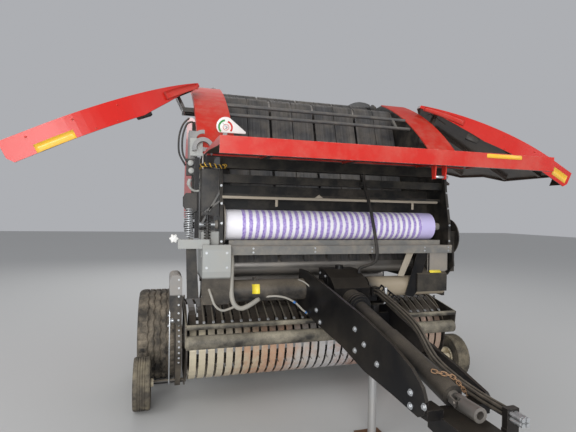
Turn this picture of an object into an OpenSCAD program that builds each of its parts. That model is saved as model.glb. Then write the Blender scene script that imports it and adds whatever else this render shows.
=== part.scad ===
// Round baler for a tractor: belt chamber, wide pickup, net wrap, gull-wing side doors.
// Frame: +Z up, front at -Y, origin on the ground under the middle of the whole machine.

/* [Chamber] */
// Width inside the bale chamber
chamber_w = 1560; // [1400:20:1700]
// Thickness of the chamber walls
wall_t = 10; // [6:1:16]
// Middle of the bale, forward or back
bale_y = 1200; // [1150:10:1250]
// Height of the middle of the tailgate's curve
tail_z = 1650; // [1600:10:1700]
// Radius of the tailgate's outer curve
tail_r = 1100; // [1050:10:1110]

/* [Front outline] */
// Fore-and-aft place of the front face
front_y = -430; // [-460:5:-400]
// Height where the front turns back into the roof
bend_z = 1930; // [1880:10:1960]
// Slope of the front curve where it starts, degrees
slope_low = 50; // [46:1:54]
// Slope of the front curve where it ends, degrees
slope_high = 22; // [18:1:26]
// Radius of the front curve
curve_r = 2248; // [2150:10:2300]
// Thickness of painted sheet
sheet_t = 8; // [5:1:12]
// Inner edge of each red front panel, from the middle
arch_in = 780; // [760:5:785]
// Outer edge of each red front panel, from the middle
arch_out = 1030; // [1000:5:1040]

/* [Side doors] */
// Door hinge, from the middle
door_hinge_x = 1095; // [1085:5:1110]
// Door hinge height
door_hinge_z = 2280; // [2260:5:2300]
// How far the doors droop from level when open, degrees
door_droop = 27; // [24:1:32]
// Depth of the door's front band
door_band = 148; // [130:2:152]
// Distance from the hinge out to the door's skin
door_out = 153; // [150:1:160]
// Height of the doors' upper front corner when closed
door_top_z = 2470; // [2440:5:2480]
// Height of the roof edge of the doors when closed
door_roof_z = 2405; // [2390:5:2410]
// Height of the doors' lower edge when closed
door_low = 1130; // [1110:10:1160]
// Back edge of the left door
door_rear_left = 190; // [180:5:200]
// Back edge of the right door
door_rear_right = 1300; // [1280:5:1320]

/* [Net wrap] */
// Net roll middle, forward or back
net_y = -350; // [-360:5:-340]
// Net roll height
net_z = 1417; // [1400:5:1430]
// Net roll length
net_w = 1620; // [1500:10:1640]
// Net roll's shift to the left of the middle
net_shift = 35; // [0:5:40]
// Net roll radius
net_r = 105; // [60:5:120]
// Radius of the disc at the left end of the roll
net_flange_r = 142; // [120:2:150]
// Width of the net cover
cover_w = 2030; // [1900:10:2040]
// Net cover's shift to the right of the middle
cover_shift = 20; // [0:5:25]
// Length of the net cover from its hinge to its lip
cover_l = 800; // [700:10:820]
// Depth of the lip of the net cover
cover_lip = 85; // [60:5:90]

/* [Pickup] */
// Middle of the tine reel, forward or back
reel_y = 100; // [90:5:110]
// Height of the tine reel
reel_z = 500; // [490:5:520]
// Outer radius of the stripper bands
band_r = 280; // [260:5:290]
// Thickness of a stripper band
band_t = 6; // [4:1:8]
// Distance from one stripper band to the next
band_pitch = 66; // [60:1:70]
// Gap between two stripper bands
band_gap = 18; // [16:1:22]
// Number of stripper bands
band_n = 32; // [24:1:32]
// Radius swept by the tips of the tines
tine_tip_r = 325; // [300:5:330]
// Number of tine bars
tine_bars = 4; // [3:1:6]
// Diameter of a tine
tine_d = 6; // [4:1:7]
// Intake rotor, forward or back
rotor_y = 560; // [555:5:565]
// Intake rotor height
rotor_z = 600; // [595:5:610]
// Radius of the intake rotor's points
rotor_r = 200; // [180:5:203]

/* [Running gear] */
// Axle, forward or back
axle_y = 770; // [740:10:800]
// Radius of the main tyres
tyre_r = 395; // [370:5:400]
// Width of the main tyres
tyre_w = 340; // [280:10:350]
// Middle of the main tyres, from the middle of the machine
tyre_x = 1265; // [1260:5:1300]
// Radius of the main rims
rim_r = 205; // [180:5:220]
// Radius of the pickup's gauge tyres
gauge_r = 195; // [180:5:200]
// Width of the gauge tyres
gauge_w = 130; // [110:5:150]
// Middle of the gauge tyres, from the middle of the machine
gauge_x = 1375; // [1360:5:1400]
// Gauge wheels, forward or back
gauge_y = 115; // [100:5:120]

/* [Tongue] */
// Tongue plates' distance from the middle at the back
tongue_x_back = 270; // [240:5:300]
// Tongue plates' distance from the middle at the front
tongue_x_front = 130; // [120:2:140]
// Thickness of a tongue plate
tongue_t = 16; // [12:1:20]
// Hitch pin, forward or back
hitch_y = -2245; // [-2260:5:-2230]
// Hitch pin hole radius
hitch_r = 17; // [14:0.5:20]
// Height of the middle of the hitch
hitch_z = 560; // [500:5:600]
// Jack, forward or back
jack_y = -700; // [-720:5:-680]
// Jack, from the middle to the right
jack_x = 130; // [125:1:135]
// Radius of the jack's inner tube
jack_r = 28; // [24:1:30]

/* [Hidden] */

red = [0.80, 0.09, 0.07];
black = [0.07, 0.07, 0.08];
grey = [0.45, 0.45, 0.46];
pale = [0.72, 0.73, 0.72];
steel = [0.62, 0.62, 0.62];
rubber = [0.11, 0.11, 0.11];
tan_paint = [0.80, 0.73, 0.56];

wall_in = chamber_w / 2;
wall_out = wall_in + wall_t;
running_gap = 0.1;
seat_gap = 0.3;
clear = 6;
curve_steps = 10;

// Points of an arc round [y, z], from angle a0 to angle a1
function arc(cy, cz, r, a0, a1, n) =
    [for (i = [0 : n]) let (a = a0 + (a1 - a0) * i / n) [cy + r * cos(a), cz + r * sin(a)]];
function reversed(p) = [for (i = [len(p) - 1 : -1 : 0]) p[i]];

// Front curve: its slope falls evenly from slope_low to slope_high; inset moves it inwards
curve_cy = front_y + curve_r * sin(slope_low);
curve_cz = bend_z - curve_r * cos(slope_low);
function front_curve(inset) =
    arc(curve_cy, curve_cz, curve_r - inset, 90 + slope_low, 90 + slope_high, curve_steps);
curve_end_y = curve_cy - curve_r * sin(slope_high);
curve_end_z = curve_cz + curve_r * cos(slope_high);

// Tailgate hinge and the split between the front and the tailgate
hinge_y = bale_y - tail_r * cos(60);
hinge_z = tail_z + tail_r * sin(60) - 45;
split_low_y = 1110;
wall_low_z = 450;
split_gap = 12;
function split_y(z) = hinge_y + 25 + (split_low_y - hinge_y - 25) * (hinge_z - z) / (hinge_z - wall_low_z);
lug_r = 60;

// Rollers: forward place, height, radius
front_roller_table = [[320, 2395, 70], [-70, 1105, 78]];
chamber_roller_table = [[430, 930, 75], [930, 540, 78]];
tail_roller_table = [[800, 2560, 60], [1500, 2640, 60], [2150, 2080, 60], [2150, 1240, 60], [1640, 660, 70],
    [1230, 560, 80]];
belt_t = 8;
belt_half_w = 180;
belt_narrow_gap = 6;
belt_wide_gap = 22;
belt_step = 2 * belt_half_w + belt_narrow_gap + belt_wide_gap;

// Angle of the outer tangent's normal from roller a to roller b
function tangent_angle(a, b) =
    atan2(b[1] - a[1], b[0] - a[0]) + acos((a[2] - b[2]) / norm([b[0] - a[0], b[1] - a[1]]));
// Points of a belt's side round a roller, between its tangents; the flats stay outside the circle
function round_roller(c, extra, a0, a1, n) =
    arc(c[0], c[1], (c[2] + extra) / cos((a1 - a0) / n / 2), a0, a1, n);
function wrap(a) = a > 180 ? a - 360 : (a < -180 ? a + 360 : a);
function belt_loop(t, extra) =
    [for (i = [0 : len(t) - 1])
        let (a = t[(i + len(t) - 1) % len(t)], b = t[i], c = t[(i + 1) % len(t)],
             a0 = tangent_angle(a, b), a1 = tangent_angle(b, c))
        each round_roller(b, extra, a0, a0 + wrap(a1 - a0), 8)];

// A flat outline of [y, z] points, extruded along x
module yz_plate(x0, t) {
    translate([x0, 0, 0]) rotate([90, 0, 90]) linear_extrude(t) children();
}
module yz_pair(x0, t) {
    yz_plate(x0, t) children();
    yz_plate(-x0 - t, t) children();
}
module block(x0, x1, y0, y1, z0, z1) {
    translate([x0, y0, z0]) cube([x1 - x0, y1 - y0, z1 - z0]);
}
module x_rod(x0, x1, y, z, r) {
    translate([x0, y, z]) rotate([0, 90, 0]) cylinder(h = x1 - x0, r = r, $fn = 48);
}
module x_tube(x0, x1, y, z, r, inner) {
    difference() {
        x_rod(x0, x1, y, z, r);
        x_rod(x0 - 1, x1 + 1, y, z, inner);
    }
}
// A turned shape about an axis along x: points are [radius, distance along x]
module turned(x0, y, z, side) {
    translate([x0, y, z]) rotate([0, 90 * side, 0]) rotate_extrude($fn = 96) children();
}
module mirror_pair() {
    children();
    mirror([1, 0, 0]) children();
}

// Axle beam, spindles and the side beams that carry the chamber
beam_h = 100;
spindle_r = 32;
spindle_end = tyre_x + 40;
beam_x1 = tyre_x - tyre_w / 2 - 30;
side_beam_in = wall_out + seat_gap;
side_beam_w = 80;
beam_wall = 10;
side_beam_y = [640, 1060];
side_beam_z = [690, 770];
module axle_beam() {
    low = tyre_r - beam_h / 2;
    high = tyre_r + beam_h / 2;
    front = axle_y - beam_h / 2;
    back = axle_y + beam_h / 2;
    color(black) {
        difference() {
            block(-beam_x1, beam_x1, front, back, low, high);
            block(-beam_x1 - 1, beam_x1 + 1, front + beam_wall, back - beam_wall, low + beam_wall, high - beam_wall);
        }
        mirror_pair() {
            block(beam_x1 - 12, beam_x1, front, back, low, high);
            x_rod(beam_x1 - 6, spindle_end, axle_y, tyre_r, spindle_r);
            block(side_beam_in, side_beam_in + side_beam_w, front, back, high - 5, side_beam_z[0] + 10);
            block(side_beam_in, side_beam_in + side_beam_w, side_beam_y[0], side_beam_y[1], side_beam_z[0], side_beam_z[1]);
            yz_plate(side_beam_in + 30, 12) polygon([[front - 70, side_beam_z[0] + 2], [back + 70, side_beam_z[0] + 2],
                [back - 1, high + 20], [front + 1, high + 20]]);
        }
    }
}

// Chamber wall, front half, with the lug that carries the tailgate
lower_front_y = 448;
lower_front_z = 975;
floor_low_z = 375;
wall_front_y = -195;
module wall_outline() {
    union() {
        polygon(concat(
            [[axle_y - beam_h / 2 - clear, wall_low_z], [axle_y - beam_h / 2 - clear, floor_low_z],
             [lower_front_y, floor_low_z], [lower_front_y, lower_front_z], [wall_front_y, lower_front_z],
             [wall_front_y, bend_z]],
            [for (p = front_curve(sheet_t + seat_gap)) if (p[0] > wall_front_y) p],
            [[hinge_y, hinge_z], [split_y(hinge_z - 40) - split_gap, hinge_z - 40],
             [split_y(wall_low_z) - split_gap, wall_low_z]]));
        translate([hinge_y, hinge_z]) circle(r = lug_r, $fn = 48);
    }
}
module side_wall() {
    color(black) {
        yz_plate(wall_in, wall_t) wall_outline();
        x_rod(wall_out - 1, wall_out + 62, hinge_y, hinge_z, 25);
        x_rod(wall_out - 1, arm_in + arm_t + 4, rotor_y, rotor_z, pivot_r);
    }
}
module side_wall_left() {
    mirror([1, 0, 0]) side_wall();
}
module side_wall_right() {
    side_wall();
}

// Red panel over the front shoulder, with a folded inner edge
panel_foot = 40;
panel_return = 50;
module front_panel() {
    color(red) {
        yz_plate(arch_in, arch_out - arch_in) polygon(concat(
            [[front_y, bend_z - panel_foot]], front_curve(0), reversed(front_curve(sheet_t)),
            [[front_y + sheet_t, bend_z - panel_foot]]));
        yz_plate(arch_out - sheet_t, sheet_t) polygon(concat(
            [[front_y + sheet_t, bend_z - panel_foot]], front_curve(sheet_t), reversed(front_curve(panel_return)),
            [[front_y + panel_return, bend_z - panel_foot]]));
    }
}
module front_panel_left() {
    mirror([1, 0, 0]) front_panel();
}
module front_panel_right() {
    front_panel();
}

// Two bars across the belts, with a short link at the right: forward place, height
guard_bar_table = [[-60, 2240], [20, 2330]];
guard_bar_r = 14;
link_x = 640;
link_w = 24;
module belt_guard_bars() {
    low = guard_bar_table[0];
    high = guard_bar_table[1];
    color(grey) {
        for (p = guard_bar_table)
            x_rod(-wall_in, wall_in, p[0], p[1], guard_bar_r);
        yz_plate(link_x, link_w) polygon([[low[0] - 8, low[1]], [low[0] + 8, low[1] - 6], [high[0] + 8, high[1]],
            [high[0] - 8, high[1] + 6]]);
    }
}

// End plates of the net box, spaced off the walls, with the seats of the net roll's core
core_r = 30;
end_plate_x = net_w / 2 + 55;
end_plate_t = 20;
core_half = end_plate_x + end_plate_t + 20;
end_plate_back = -110;
post_front = -180;
beam_top = 1279;
beam_h_net = 60;
beam_y0 = -490;
beam_y1 = -430;
plate_top = 1889;
plate_low = 880;
plate_low_back = 1010;
tab_back = -335;
plate_waist_z = 1450;
plate_neck = [-440, 1700];
module net_end_plates() {
    color(black) mirror_pair() difference() {
        union() {
            yz_plate(end_plate_x, end_plate_t) polygon([[beam_y0, beam_top + seat_gap], [beam_y0, plate_waist_z],
                plate_neck, [plate_neck[0] + 20, plate_top], [end_plate_back, plate_top],
                [end_plate_back, plate_low_back], [tab_back, plate_low_back], [tab_back, plate_low],
                [beam_y1 + seat_gap, plate_low], [beam_y1 + seat_gap, beam_top + seat_gap]]);
            block(wall_out + seat_gap, end_plate_x + 1, post_front, end_plate_back, plate_low_back, plate_top);
        }
        x_rod(end_plate_x - 1, end_plate_x + end_plate_t + 1, net_y, net_z, core_r + running_gap);
    }
}

// Cross members behind and above the net roll: y0, y1, z0, z1
member_table = [[-437.7, -350, 1800, 1885], [-400, -330, 1705, 1760], [-385, -345, 1608, 1632],
    [-206, -196, 1290, 1700]];
module front_crossmembers() {
    color(black)
        for (m = member_table)
            block(-end_plate_x + seat_gap, end_plate_x - seat_gap, m[0], m[1], m[2], m[3]);
}

// Beam under the net roll and its comb bar
beam_half = 900;
comb_half = 820;
module net_beam() {
    color(grey) {
        block(-beam_half, beam_half, beam_y0, beam_y1, beam_top - beam_h_net, beam_top);
        block(-comb_half, comb_half, beam_y1 - 20, beam_y1 - 4, beam_top - 1, beam_top + 36);
    }
}

// Drive column and housing at the left front, brackets at the right front
side_box_in = end_plate_x + end_plate_t + seat_gap;
side_box_w = 115;
side_box_out = side_box_in + side_box_w;
column_low = 1474;
column_top = 1790;
spring_at = [-455, 1360];
spring_r = 22;
module left_column() {
    color(black) mirror([1, 0, 0]) {
        block(side_box_in, side_box_out, net_y - 60, net_y + 60, column_low, column_top);
        yz_plate(side_box_out - 1, 9) polygon([[net_y - 50, 1600], [net_y - 10, column_top + 70],
            [net_y + 40, column_top + 70], [net_y + 55, 1500], [net_y + 20, column_low - 60], [net_y - 20, column_low - 60]]);
        translate([side_box_out - 36, spring_at[0], spring_at[1] - 90]) cylinder(h = 240, r = 8, $fn = 24);
        for (i = [0 : 8])
            translate([side_box_out - 36, spring_at[0], spring_at[1] - 70 + i * 18])
                cylinder(h = 8, r = spring_r, $fn = 32);
        block(side_box_out - 66, side_box_out - 6, spring_at[0] - 25, net_y - 59, column_low + 10, column_low + 26);
    }
    color(grey) mirror([1, 0, 0])
        for (z = [column_top - 50, column_top - 130])
            x_rod(side_box_out + 7, side_box_out + 40, net_y - 10, z, 20);
}
housing_front = -550;
housing_step = beam_y0 - seat_gap;
housing_foot = [-470, 900];
module left_lower_housing() {
    color(pale) mirror([1, 0, 0]) {
        block(side_box_in, side_box_out, net_y - 80, net_y + 170, 1060, 1372);
        difference() {
            yz_plate(820, 180) polygon([[housing_front, 1120], [housing_front, 1260], [housing_front + 15, 1290],
                [housing_step, 1290], [housing_step, 1000], [housing_foot[0] - 30, housing_foot[1]]]);
            yz_plate(834, 152) translate([12, -12]) polygon([[housing_front, 1120], [housing_front, 1260],
                [housing_step, 1290], [housing_step, 1000]]);
        }
        block(side_box_in, side_box_out, housing_step - 20, net_y - 79, 1075, 1200);
        x_rod(side_box_out - 1, side_box_out + 60, net_y - 30, 1300, 16);
        x_rod(side_box_out + 50, side_box_out + 82, net_y - 30, 1300, 26);
    }
}
tube_box_x = [596, 852];
module right_brackets() {
    color(black) {
        difference() {
            yz_plate(tube_box_x[0], tube_box_x[1] - tube_box_x[0]) polygon([[tube_y - 100, 930], [tube_y - 100, 1060],
                [tube_y - 40, 1104], [tube_y + 60, 1104], [tube_y + 60, 930]]);
            x_rod(tube_box_x[0] - 1, tube_box_x[1] + 1, tube_y, tube_z, tube_r + seat_gap);
            block(tube_box_x[0] + 8, tube_box_x[1] - 8, tube_y - 92, tube_y + 52, 929, 1052);
        }
        block(side_box_in, side_box_out, net_y - 40, net_y + 170, 1060, 1380);
        yz_plate(side_box_out - 1, 8) polygon(concat([[net_y + 60, 1150]], arc(net_y + 60, 1330, 150, 250, 100, 12),
            [[net_y + 60, 1560]]));
        yz_plate(side_box_out + 20, 5) polygon([[net_y + 90, 1290], [net_y - 60, 1370], [net_y + 90, 1410]]);
        x_rod(side_box_out - 10, side_box_out + 21, net_y + 76, 1345, 11);
        yz_plate(beam_half + seat_gap, 12) polygon([[beam_y0, beam_top - 8], [beam_y1 + 20, beam_top - 8],
            [beam_y1 + 60, 1080], [beam_y1, 1040], [beam_y0 - 20, 1120]]);
    }
    color(grey) yz_plate(700, 8) polygon([[beam_y0 + 5, beam_top - beam_h_net - seat_gap],
        [beam_y1 - 5, beam_top - beam_h_net - seat_gap], [beam_y1 - 5, 1100], [tube_y + 10, 1060],
        [tube_y + 10, tube_z + tube_r + seat_gap], [tube_y - 10, tube_z + tube_r + seat_gap],
        [beam_y0 + 5, 1080]]);
}

// Cross drive tube from the gearbox to the left side, and its flanges
tube_y = -400;
tube_z = 965;
tube_r = 74;
tube_in = 212;
flange_r = 100;
module drive_tube() {
    color(black) {
        x_rod(-end_plate_x + seat_gap, -tube_in, tube_y, tube_z, tube_r);
        x_rod(-tube_in - 20, -tube_in, tube_y, tube_z, flange_r);
        x_rod(-end_plate_x + seat_gap, -end_plate_x + 16, tube_y, tube_z, flange_r - 12);
        block(-640, -616, tube_y - 30, tube_y + 30, tube_z + tube_r - 6, tube_z + tube_r + 14);
    }
    color(tan_paint) x_rod(tube_in, end_plate_x - seat_gap, tube_y, tube_z, tube_r);
}

// Gearbox block and its sloping input shield, whose face is square to the drive shaft
gear_half = 130;
function gear_face(t) = [pto_start[1] + seat_gap * cos(pto_tilt) - t * sin(pto_tilt),
    pto_start[2] + seat_gap * sin(pto_tilt) + t * cos(pto_tilt)];
module gearbox() {
    color(black) {
        difference() {
            yz_plate(-gear_half, 2 * gear_half) polygon([gear_face(-76), gear_face(76), [-560, 1060], [-420, 1105],
                [-330, 1105], [-330, 850]]);
            yz_plate(-gear_half - 1, 7) polygon([[-588, 868], [-606, 985], [-560, 1035], [-500, 1050], [-500, 868]]);
        }
        x_rod(-tube_in + seat_gap, -gear_half, tube_y, tube_z, 62);
        x_rod(gear_half, tube_in - seat_gap, tube_y, tube_z, 62);
        x_rod(-tube_in + seat_gap, -tube_in + 30, tube_y, tube_z, 84);
        translate([0, -400, 1104]) cylinder(h = 26, r = 30, $fn = 48);
    }
}

// Telescopic guard of the drive shaft, with its bellows
pto_start = [0, -620, 925];
pto_end = [0, -1690, 700];
pto_len = norm(pto_end - pto_start);
pto_tilt = atan2(pto_start[2] - pto_end[2], pto_start[1] - pto_end[1]);
module along_pto() {
    translate(pto_start) rotate([90 + pto_tilt, 0, 0]) children();
}
bellows_table = [[0, 68, 80], [80, 80, 14], [94, 70, 10], [104, 80, 14], [118, 68, 10], [128, 76, 14], [142, 60, 10]];
guard_tube_r = 44;
guard_bell_r = 50;
module pto_guard() {
    color(black) along_pto() {
        for (b = bellows_table)
            translate([0, 0, b[0]]) cylinder(h = b[2], r = b[1], $fn = 48);
        translate([0, 0, 150]) cylinder(h = pto_len * 0.5 - 150, r = guard_tube_r, $fn = 48);
        translate([0, 0, pto_len * 0.5]) cylinder(h = pto_len * 0.5, r = guard_bell_r, $fn = 48);
    }
}
// Universal joint at the shaft's front end: inner fork, cross, and an outer fork with the splined hub
joint_at = pto_len + 45;
joint_y = pto_start[1] - joint_at * cos(pto_tilt);
joint_z = pto_start[2] - joint_at * sin(pto_tilt);
yoke_r = 32;
yoke_bore = 17.5;
hub_start = 32;
hub_l = 100;
bore_l = 90;
module pto_yoke() {
    color(steel) {
        along_pto() {
            translate([0, 0, pto_len + seat_gap]) cylinder(h = 16, r = 28, $fn = 48);
            for (side = [-1, 1])
                translate([side * 26 - 5, -14, pto_len + 15]) cube([10, 28, 44]);
        }
        x_rod(-34, 34, joint_y, joint_z, 9);
        translate([0, joint_y, joint_z - 30]) cylinder(h = 60, r = 9, $fn = 32);
        for (side = [-1, 1])
            block(-14, 14, joint_y - hub_start - 2, joint_y + 14, joint_z + side * 27 - 4, joint_z + side * 27 + 4);
        translate([0, joint_y - hub_start, joint_z]) rotate([90, 0, 0]) difference() {
            cylinder(h = hub_l, r = yoke_r, $fn = 64);
            translate([0, 0, hub_l - bore_l]) cylinder(h = bore_l + 1, r = yoke_bore, $fn = 48);
        }
    }
}

// Tongue: two tapered side plates that draw together towards the hitch
tongue_back_y = -330;
tongue_front_y = -2130;
tongue_len = tongue_back_y - tongue_front_y;
tongue_toe = atan2(tongue_x_back - tongue_x_front, tongue_len);
function tongue_inner_x(y) = tongue_x_back - (tongue_back_y - y) * tan(tongue_toe);
left_plate = [[0, 1100], [-130, 1100], [-480, 1039], [-910, 953], [-1165, 887], [-1320, 823], [-1395, 765],
    [-1420, 712], [-1410, 655], [-1370, 627], [-1175, 650], [-920, 672], [-680, 728], [-180, 795], [0, 795]];
right_plate = [[0, 960], [-290, 890], [-770, 800], [-1170, 745], [-1380, 705], [-1420, 670], [-1410, 640],
    [-1370, 622], [-1175, 640], [-770, 672], [-180, 780], [0, 780]];
module tongue_plate(outline) {
    difference() {
        translate([tongue_x_back, tongue_back_y, 0]) rotate([0, 0, -tongue_toe]) yz_plate(0, tongue_t) polygon(outline);
        x_rod(tongue_x_back - 30, tongue_x_back + 40, tube_y, tube_z, tube_r + seat_gap);
    }
}
// A packer that fills the gap from x0 out to a tongue plate, between y0 and y1
module tongue_packer(x0, y0, y1, z0, z1) {
    translate([0, 0, z0]) linear_extrude(z1 - z0) polygon([[x0, y0], [tongue_inner_x(y0) - seat_gap, y0],
        [tongue_inner_x(y1) - seat_gap, y1], [x0, y1]]);
}
module tongue() {
    color(black) {
        mirror([1, 0, 0]) tongue_plate(left_plate);
        tongue_plate(right_plate);
        mirror_pair() {
            translate([0, 0, 702]) linear_extrude(10) polygon([[-1, -1210], [tongue_inner_x(-1210) + 2, -1210],
                [tongue_inner_x(-1150) + 2, -1150], [-1, -1150]]);
        }
    }
}
// Drawbar bolted between the plates, with the clevis at its front
clevis_back = -2140;
ear_inner = 35;
ear_outer = 60;
clevis_half = 55;
bar_half = 90;
bar_wall = 12;
bar_back = -1640;
packer_y = [-1740, -1650];
module bar_side(cut) {
    polygon([[bar_back + cut * 2, 636 - cut], [clevis_back + cut, hitch_z + ear_outer - cut],
        [clevis_back + cut, hitch_z - ear_outer + cut], [bar_back + cut * 2, 548 + cut]]);
}
module hitch_clevis() {
    color(black) difference() {
        union() {
            for (z = [ear_inner, -ear_outer]) {
                block(-clevis_half, clevis_half, hitch_y, clevis_back + 20, hitch_z + z, hitch_z + z + ear_outer - ear_inner);
                translate([0, hitch_y, hitch_z + z]) cylinder(h = ear_outer - ear_inner, r = clevis_half, $fn = 64);
            }
            difference() {
                yz_plate(-bar_half, 2 * bar_half) bar_side(0);
                yz_plate(-bar_half + bar_wall, 2 * (bar_half - bar_wall)) bar_side(bar_wall);
                translate([0, 5, 0]) yz_plate(-bar_half + bar_wall, 2 * (bar_half - bar_wall)) bar_side(bar_wall);
                block(-bar_half + bar_wall, bar_half - bar_wall, bar_back - 30, bar_back + 1, 548 + bar_wall, 636 - bar_wall);
            }
            mirror_pair() translate([0, 0, 625]) linear_extrude(45) polygon([[bar_half - 10, packer_y[0]],
                [tongue_inner_x(packer_y[0]) - seat_gap, packer_y[0]],
                [tongue_inner_x(packer_y[1]) - seat_gap, packer_y[1]], [bar_half - 10, packer_y[1]]]);
        }
        translate([0, hitch_y, hitch_z - ear_outer - 1]) cylinder(h = 2 * ear_outer + 2, r = hitch_r, $fn = 48);
    }
}

// Jack: sleeve on the tongue's right plate, galvanised leg and foot
sleeve_r = 35;
sleeve_low = 540;
sleeve_top = 900;
leg_top = 560;
foot_t = 10;
foot_half = 90;
module jack_sleeve() {
    color(black) {
        difference() {
            union() {
                translate([jack_x, jack_y, sleeve_low]) cylinder(h = sleeve_top - sleeve_low, r = sleeve_r, $fn = 48);
                tongue_packer(jack_x + sleeve_r - 6, jack_y - 14, jack_y + 14, 750, 840);
            }
            translate([jack_x, jack_y, sleeve_low - 1]) cylinder(h = 346, r = jack_r + running_gap, $fn = 48);
        }
        x_rod(jack_x - 8, jack_x + 70, jack_y, sleeve_top - 2, 7);
    }
}
module jack_leg() {
    color(steel) translate([jack_x, jack_y, 0]) {
        translate([0, 0, foot_t]) cylinder(h = leg_top - foot_t, r = jack_r, $fn = 48);
        block(-foot_half, foot_half, -foot_half, foot_half, 0, foot_t);
    }
}

// Rollers at the front of the chamber and under the bale
module front_rollers() {
    color(steel)
        for (r = concat(front_roller_table, chamber_roller_table))
            x_rod(-wall_in + seat_gap, wall_in - seat_gap, r[0], r[1], r[2]);
}

// Chamber belts: four belts, each in two halves
belt_starts = [for (k = [0 : 3]) let (x = (k - 2) * belt_step + belt_wide_gap / 2)
    each [x, x + belt_half_w + belt_narrow_gap]];
module belt_set(table) {
    for (x = belt_starts)
        yz_plate(x, belt_half_w) difference() {
            polygon(belt_loop(table, seat_gap + belt_t));
            polygon(belt_loop(table, seat_gap));
        }
}
module front_belts() {
    color(rubber) belt_set(front_roller_table);
}

// Curved floor under the intake rotor
floor_gap = 12;
floor_t = 6;
module intake_floor() {
    color(grey) yz_plate(-wall_in + seat_gap, 2 * (wall_in - seat_gap)) polygon(concat(
        arc(rotor_y, rotor_z, rotor_r + floor_gap, -118, -50, 12),
        reversed(arc(rotor_y, rotor_z, rotor_r + floor_gap + floor_t, -118, -50, 12))));
}

// Lift cylinders: barrels on the side beams, rods up to the tailgate
lift_x = wall_out + 75;
lift_base = [760, 1000];
lift_eye = [1035, 2250];
lift_vec = lift_eye - lift_base;
lift_len = norm(lift_vec);
lift_lean = atan2(lift_vec[0], lift_vec[1]);
barrel_r = 38;
rod_r = 20;
barrel_len = 760;
module lift_along() {
    translate([lift_x, lift_base[0], lift_base[1]]) rotate([-lift_lean, 0, 0]) children();
}
module lift_barrels() {
    color(black) mirror_pair() {
        lift_along() difference() {
            cylinder(h = barrel_len, r = barrel_r, $fn = 48);
            translate([0, 0, 40]) cylinder(h = barrel_len, r = rod_r + running_gap, $fn = 48);
        }
        x_rod(wall_out + seat_gap, lift_x, lift_base[0], lift_base[1] + 20, 25);
    }
}
module lift_rods() {
    color(steel) mirror_pair() {
        lift_along() translate([0, 0, 250]) cylinder(h = lift_len - 250, r = rod_r, $fn = 48);
        x_rod(lift_x - 20, lift_x + 20, lift_eye[0], lift_eye[1], 40);
    }
}

// Main wheels
module main_tyre() {
    color(rubber) turned(tyre_x, axle_y, tyre_r, 1) tyre_shape(tyre_r, tyre_w, rim_r);
}
// Half section of a tyre: points are [radius, distance across]
module tyre_shape(r, w, rr) {
    shoulder = w * 0.12;
    polygon([[rr, -w / 2 + 22], [rr + 18, -w / 2 + 8], [rr + (r - rr) * 0.5, -w / 2], [r - shoulder, -w / 2 + 6],
        [r - shoulder * 0.3, -w / 2 + shoulder * 0.4], [r, -w / 2 + shoulder * 1.2],
        [r, w / 2 - shoulder * 1.2], [r - shoulder * 0.3, w / 2 - shoulder * 0.4], [r - shoulder, w / 2 - 6],
        [rr + (r - rr) * 0.5, w / 2], [rr + 18, w / 2 - 8], [rr, w / 2 - 22]]);
}
// Half section of a rim with a dish and a hub
module rim_shape(rr, w, dish_x, dish_r, hub_r, bore_r, bore_end) {
    t = 6;
    polygon([[rr - t, -w / 2 + 10], [rr - seat_gap, -w / 2 + 10], [rr - seat_gap, w / 2 - 10], [rr - t, w / 2 - 10],
        [rr - t, dish_x + t], [dish_r, dish_x + t], [hub_r, bore_end + 12], [0, bore_end + 12], [0, bore_end],
        [bore_r, bore_end], [bore_r, bore_end - 110], [hub_r, bore_end - 110], [hub_r, dish_x], [rr - t, dish_x]]);
}
module main_rim() {
    color(pale) turned(tyre_x, axle_y, tyre_r, 1)
        rim_shape(rim_r, tyre_w, 10, rim_r * 0.55, 75, spindle_r + running_gap, 42);
}
module rim_left() {
    mirror([1, 0, 0]) main_rim();
}
module rim_right() {
    main_rim();
}
module tyre_left() {
    mirror([1, 0, 0]) main_tyre();
}
module tyre_right() {
    main_tyre();
}

// Outline of the drive cover on each end of the pickup
end_cover_in = 1098;
end_cover_t = 40;
module end_cover_outline() {
    polygon(concat([[reel_y + 150, 330], [reel_y + 30, gauge_r - 25], [reel_y - 20, gauge_r - 25], [reel_y - 130, 330]],
        arc(reel_y, reel_z, 210, 215, 90, 12), [[reel_y + 150, 690], [reel_y + 190, 600]]));
}

// Rounded housing over the drive cover at the left end of the pickup
shield_half = 130;
shield_out = 1188;
shield_low = 680;
shield_top = 1045;
shield_round = 34;
module end_shield() {
    low_x = end_cover_in + 4;
    translate([0, shield_half, 0]) rotate([90, 0, 0]) linear_extrude(2 * shield_half) polygon(concat(
        [[low_x, shield_low], [end_cover_in + end_cover_t, shield_low], [shield_out, shield_low + 110]],
        arc(shield_out - shield_round, shield_top - shield_round, shield_round, 0, 90, 6),
        arc(low_x + shield_round, shield_top - shield_round, shield_round, 90, 180, 6)));
}

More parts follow.
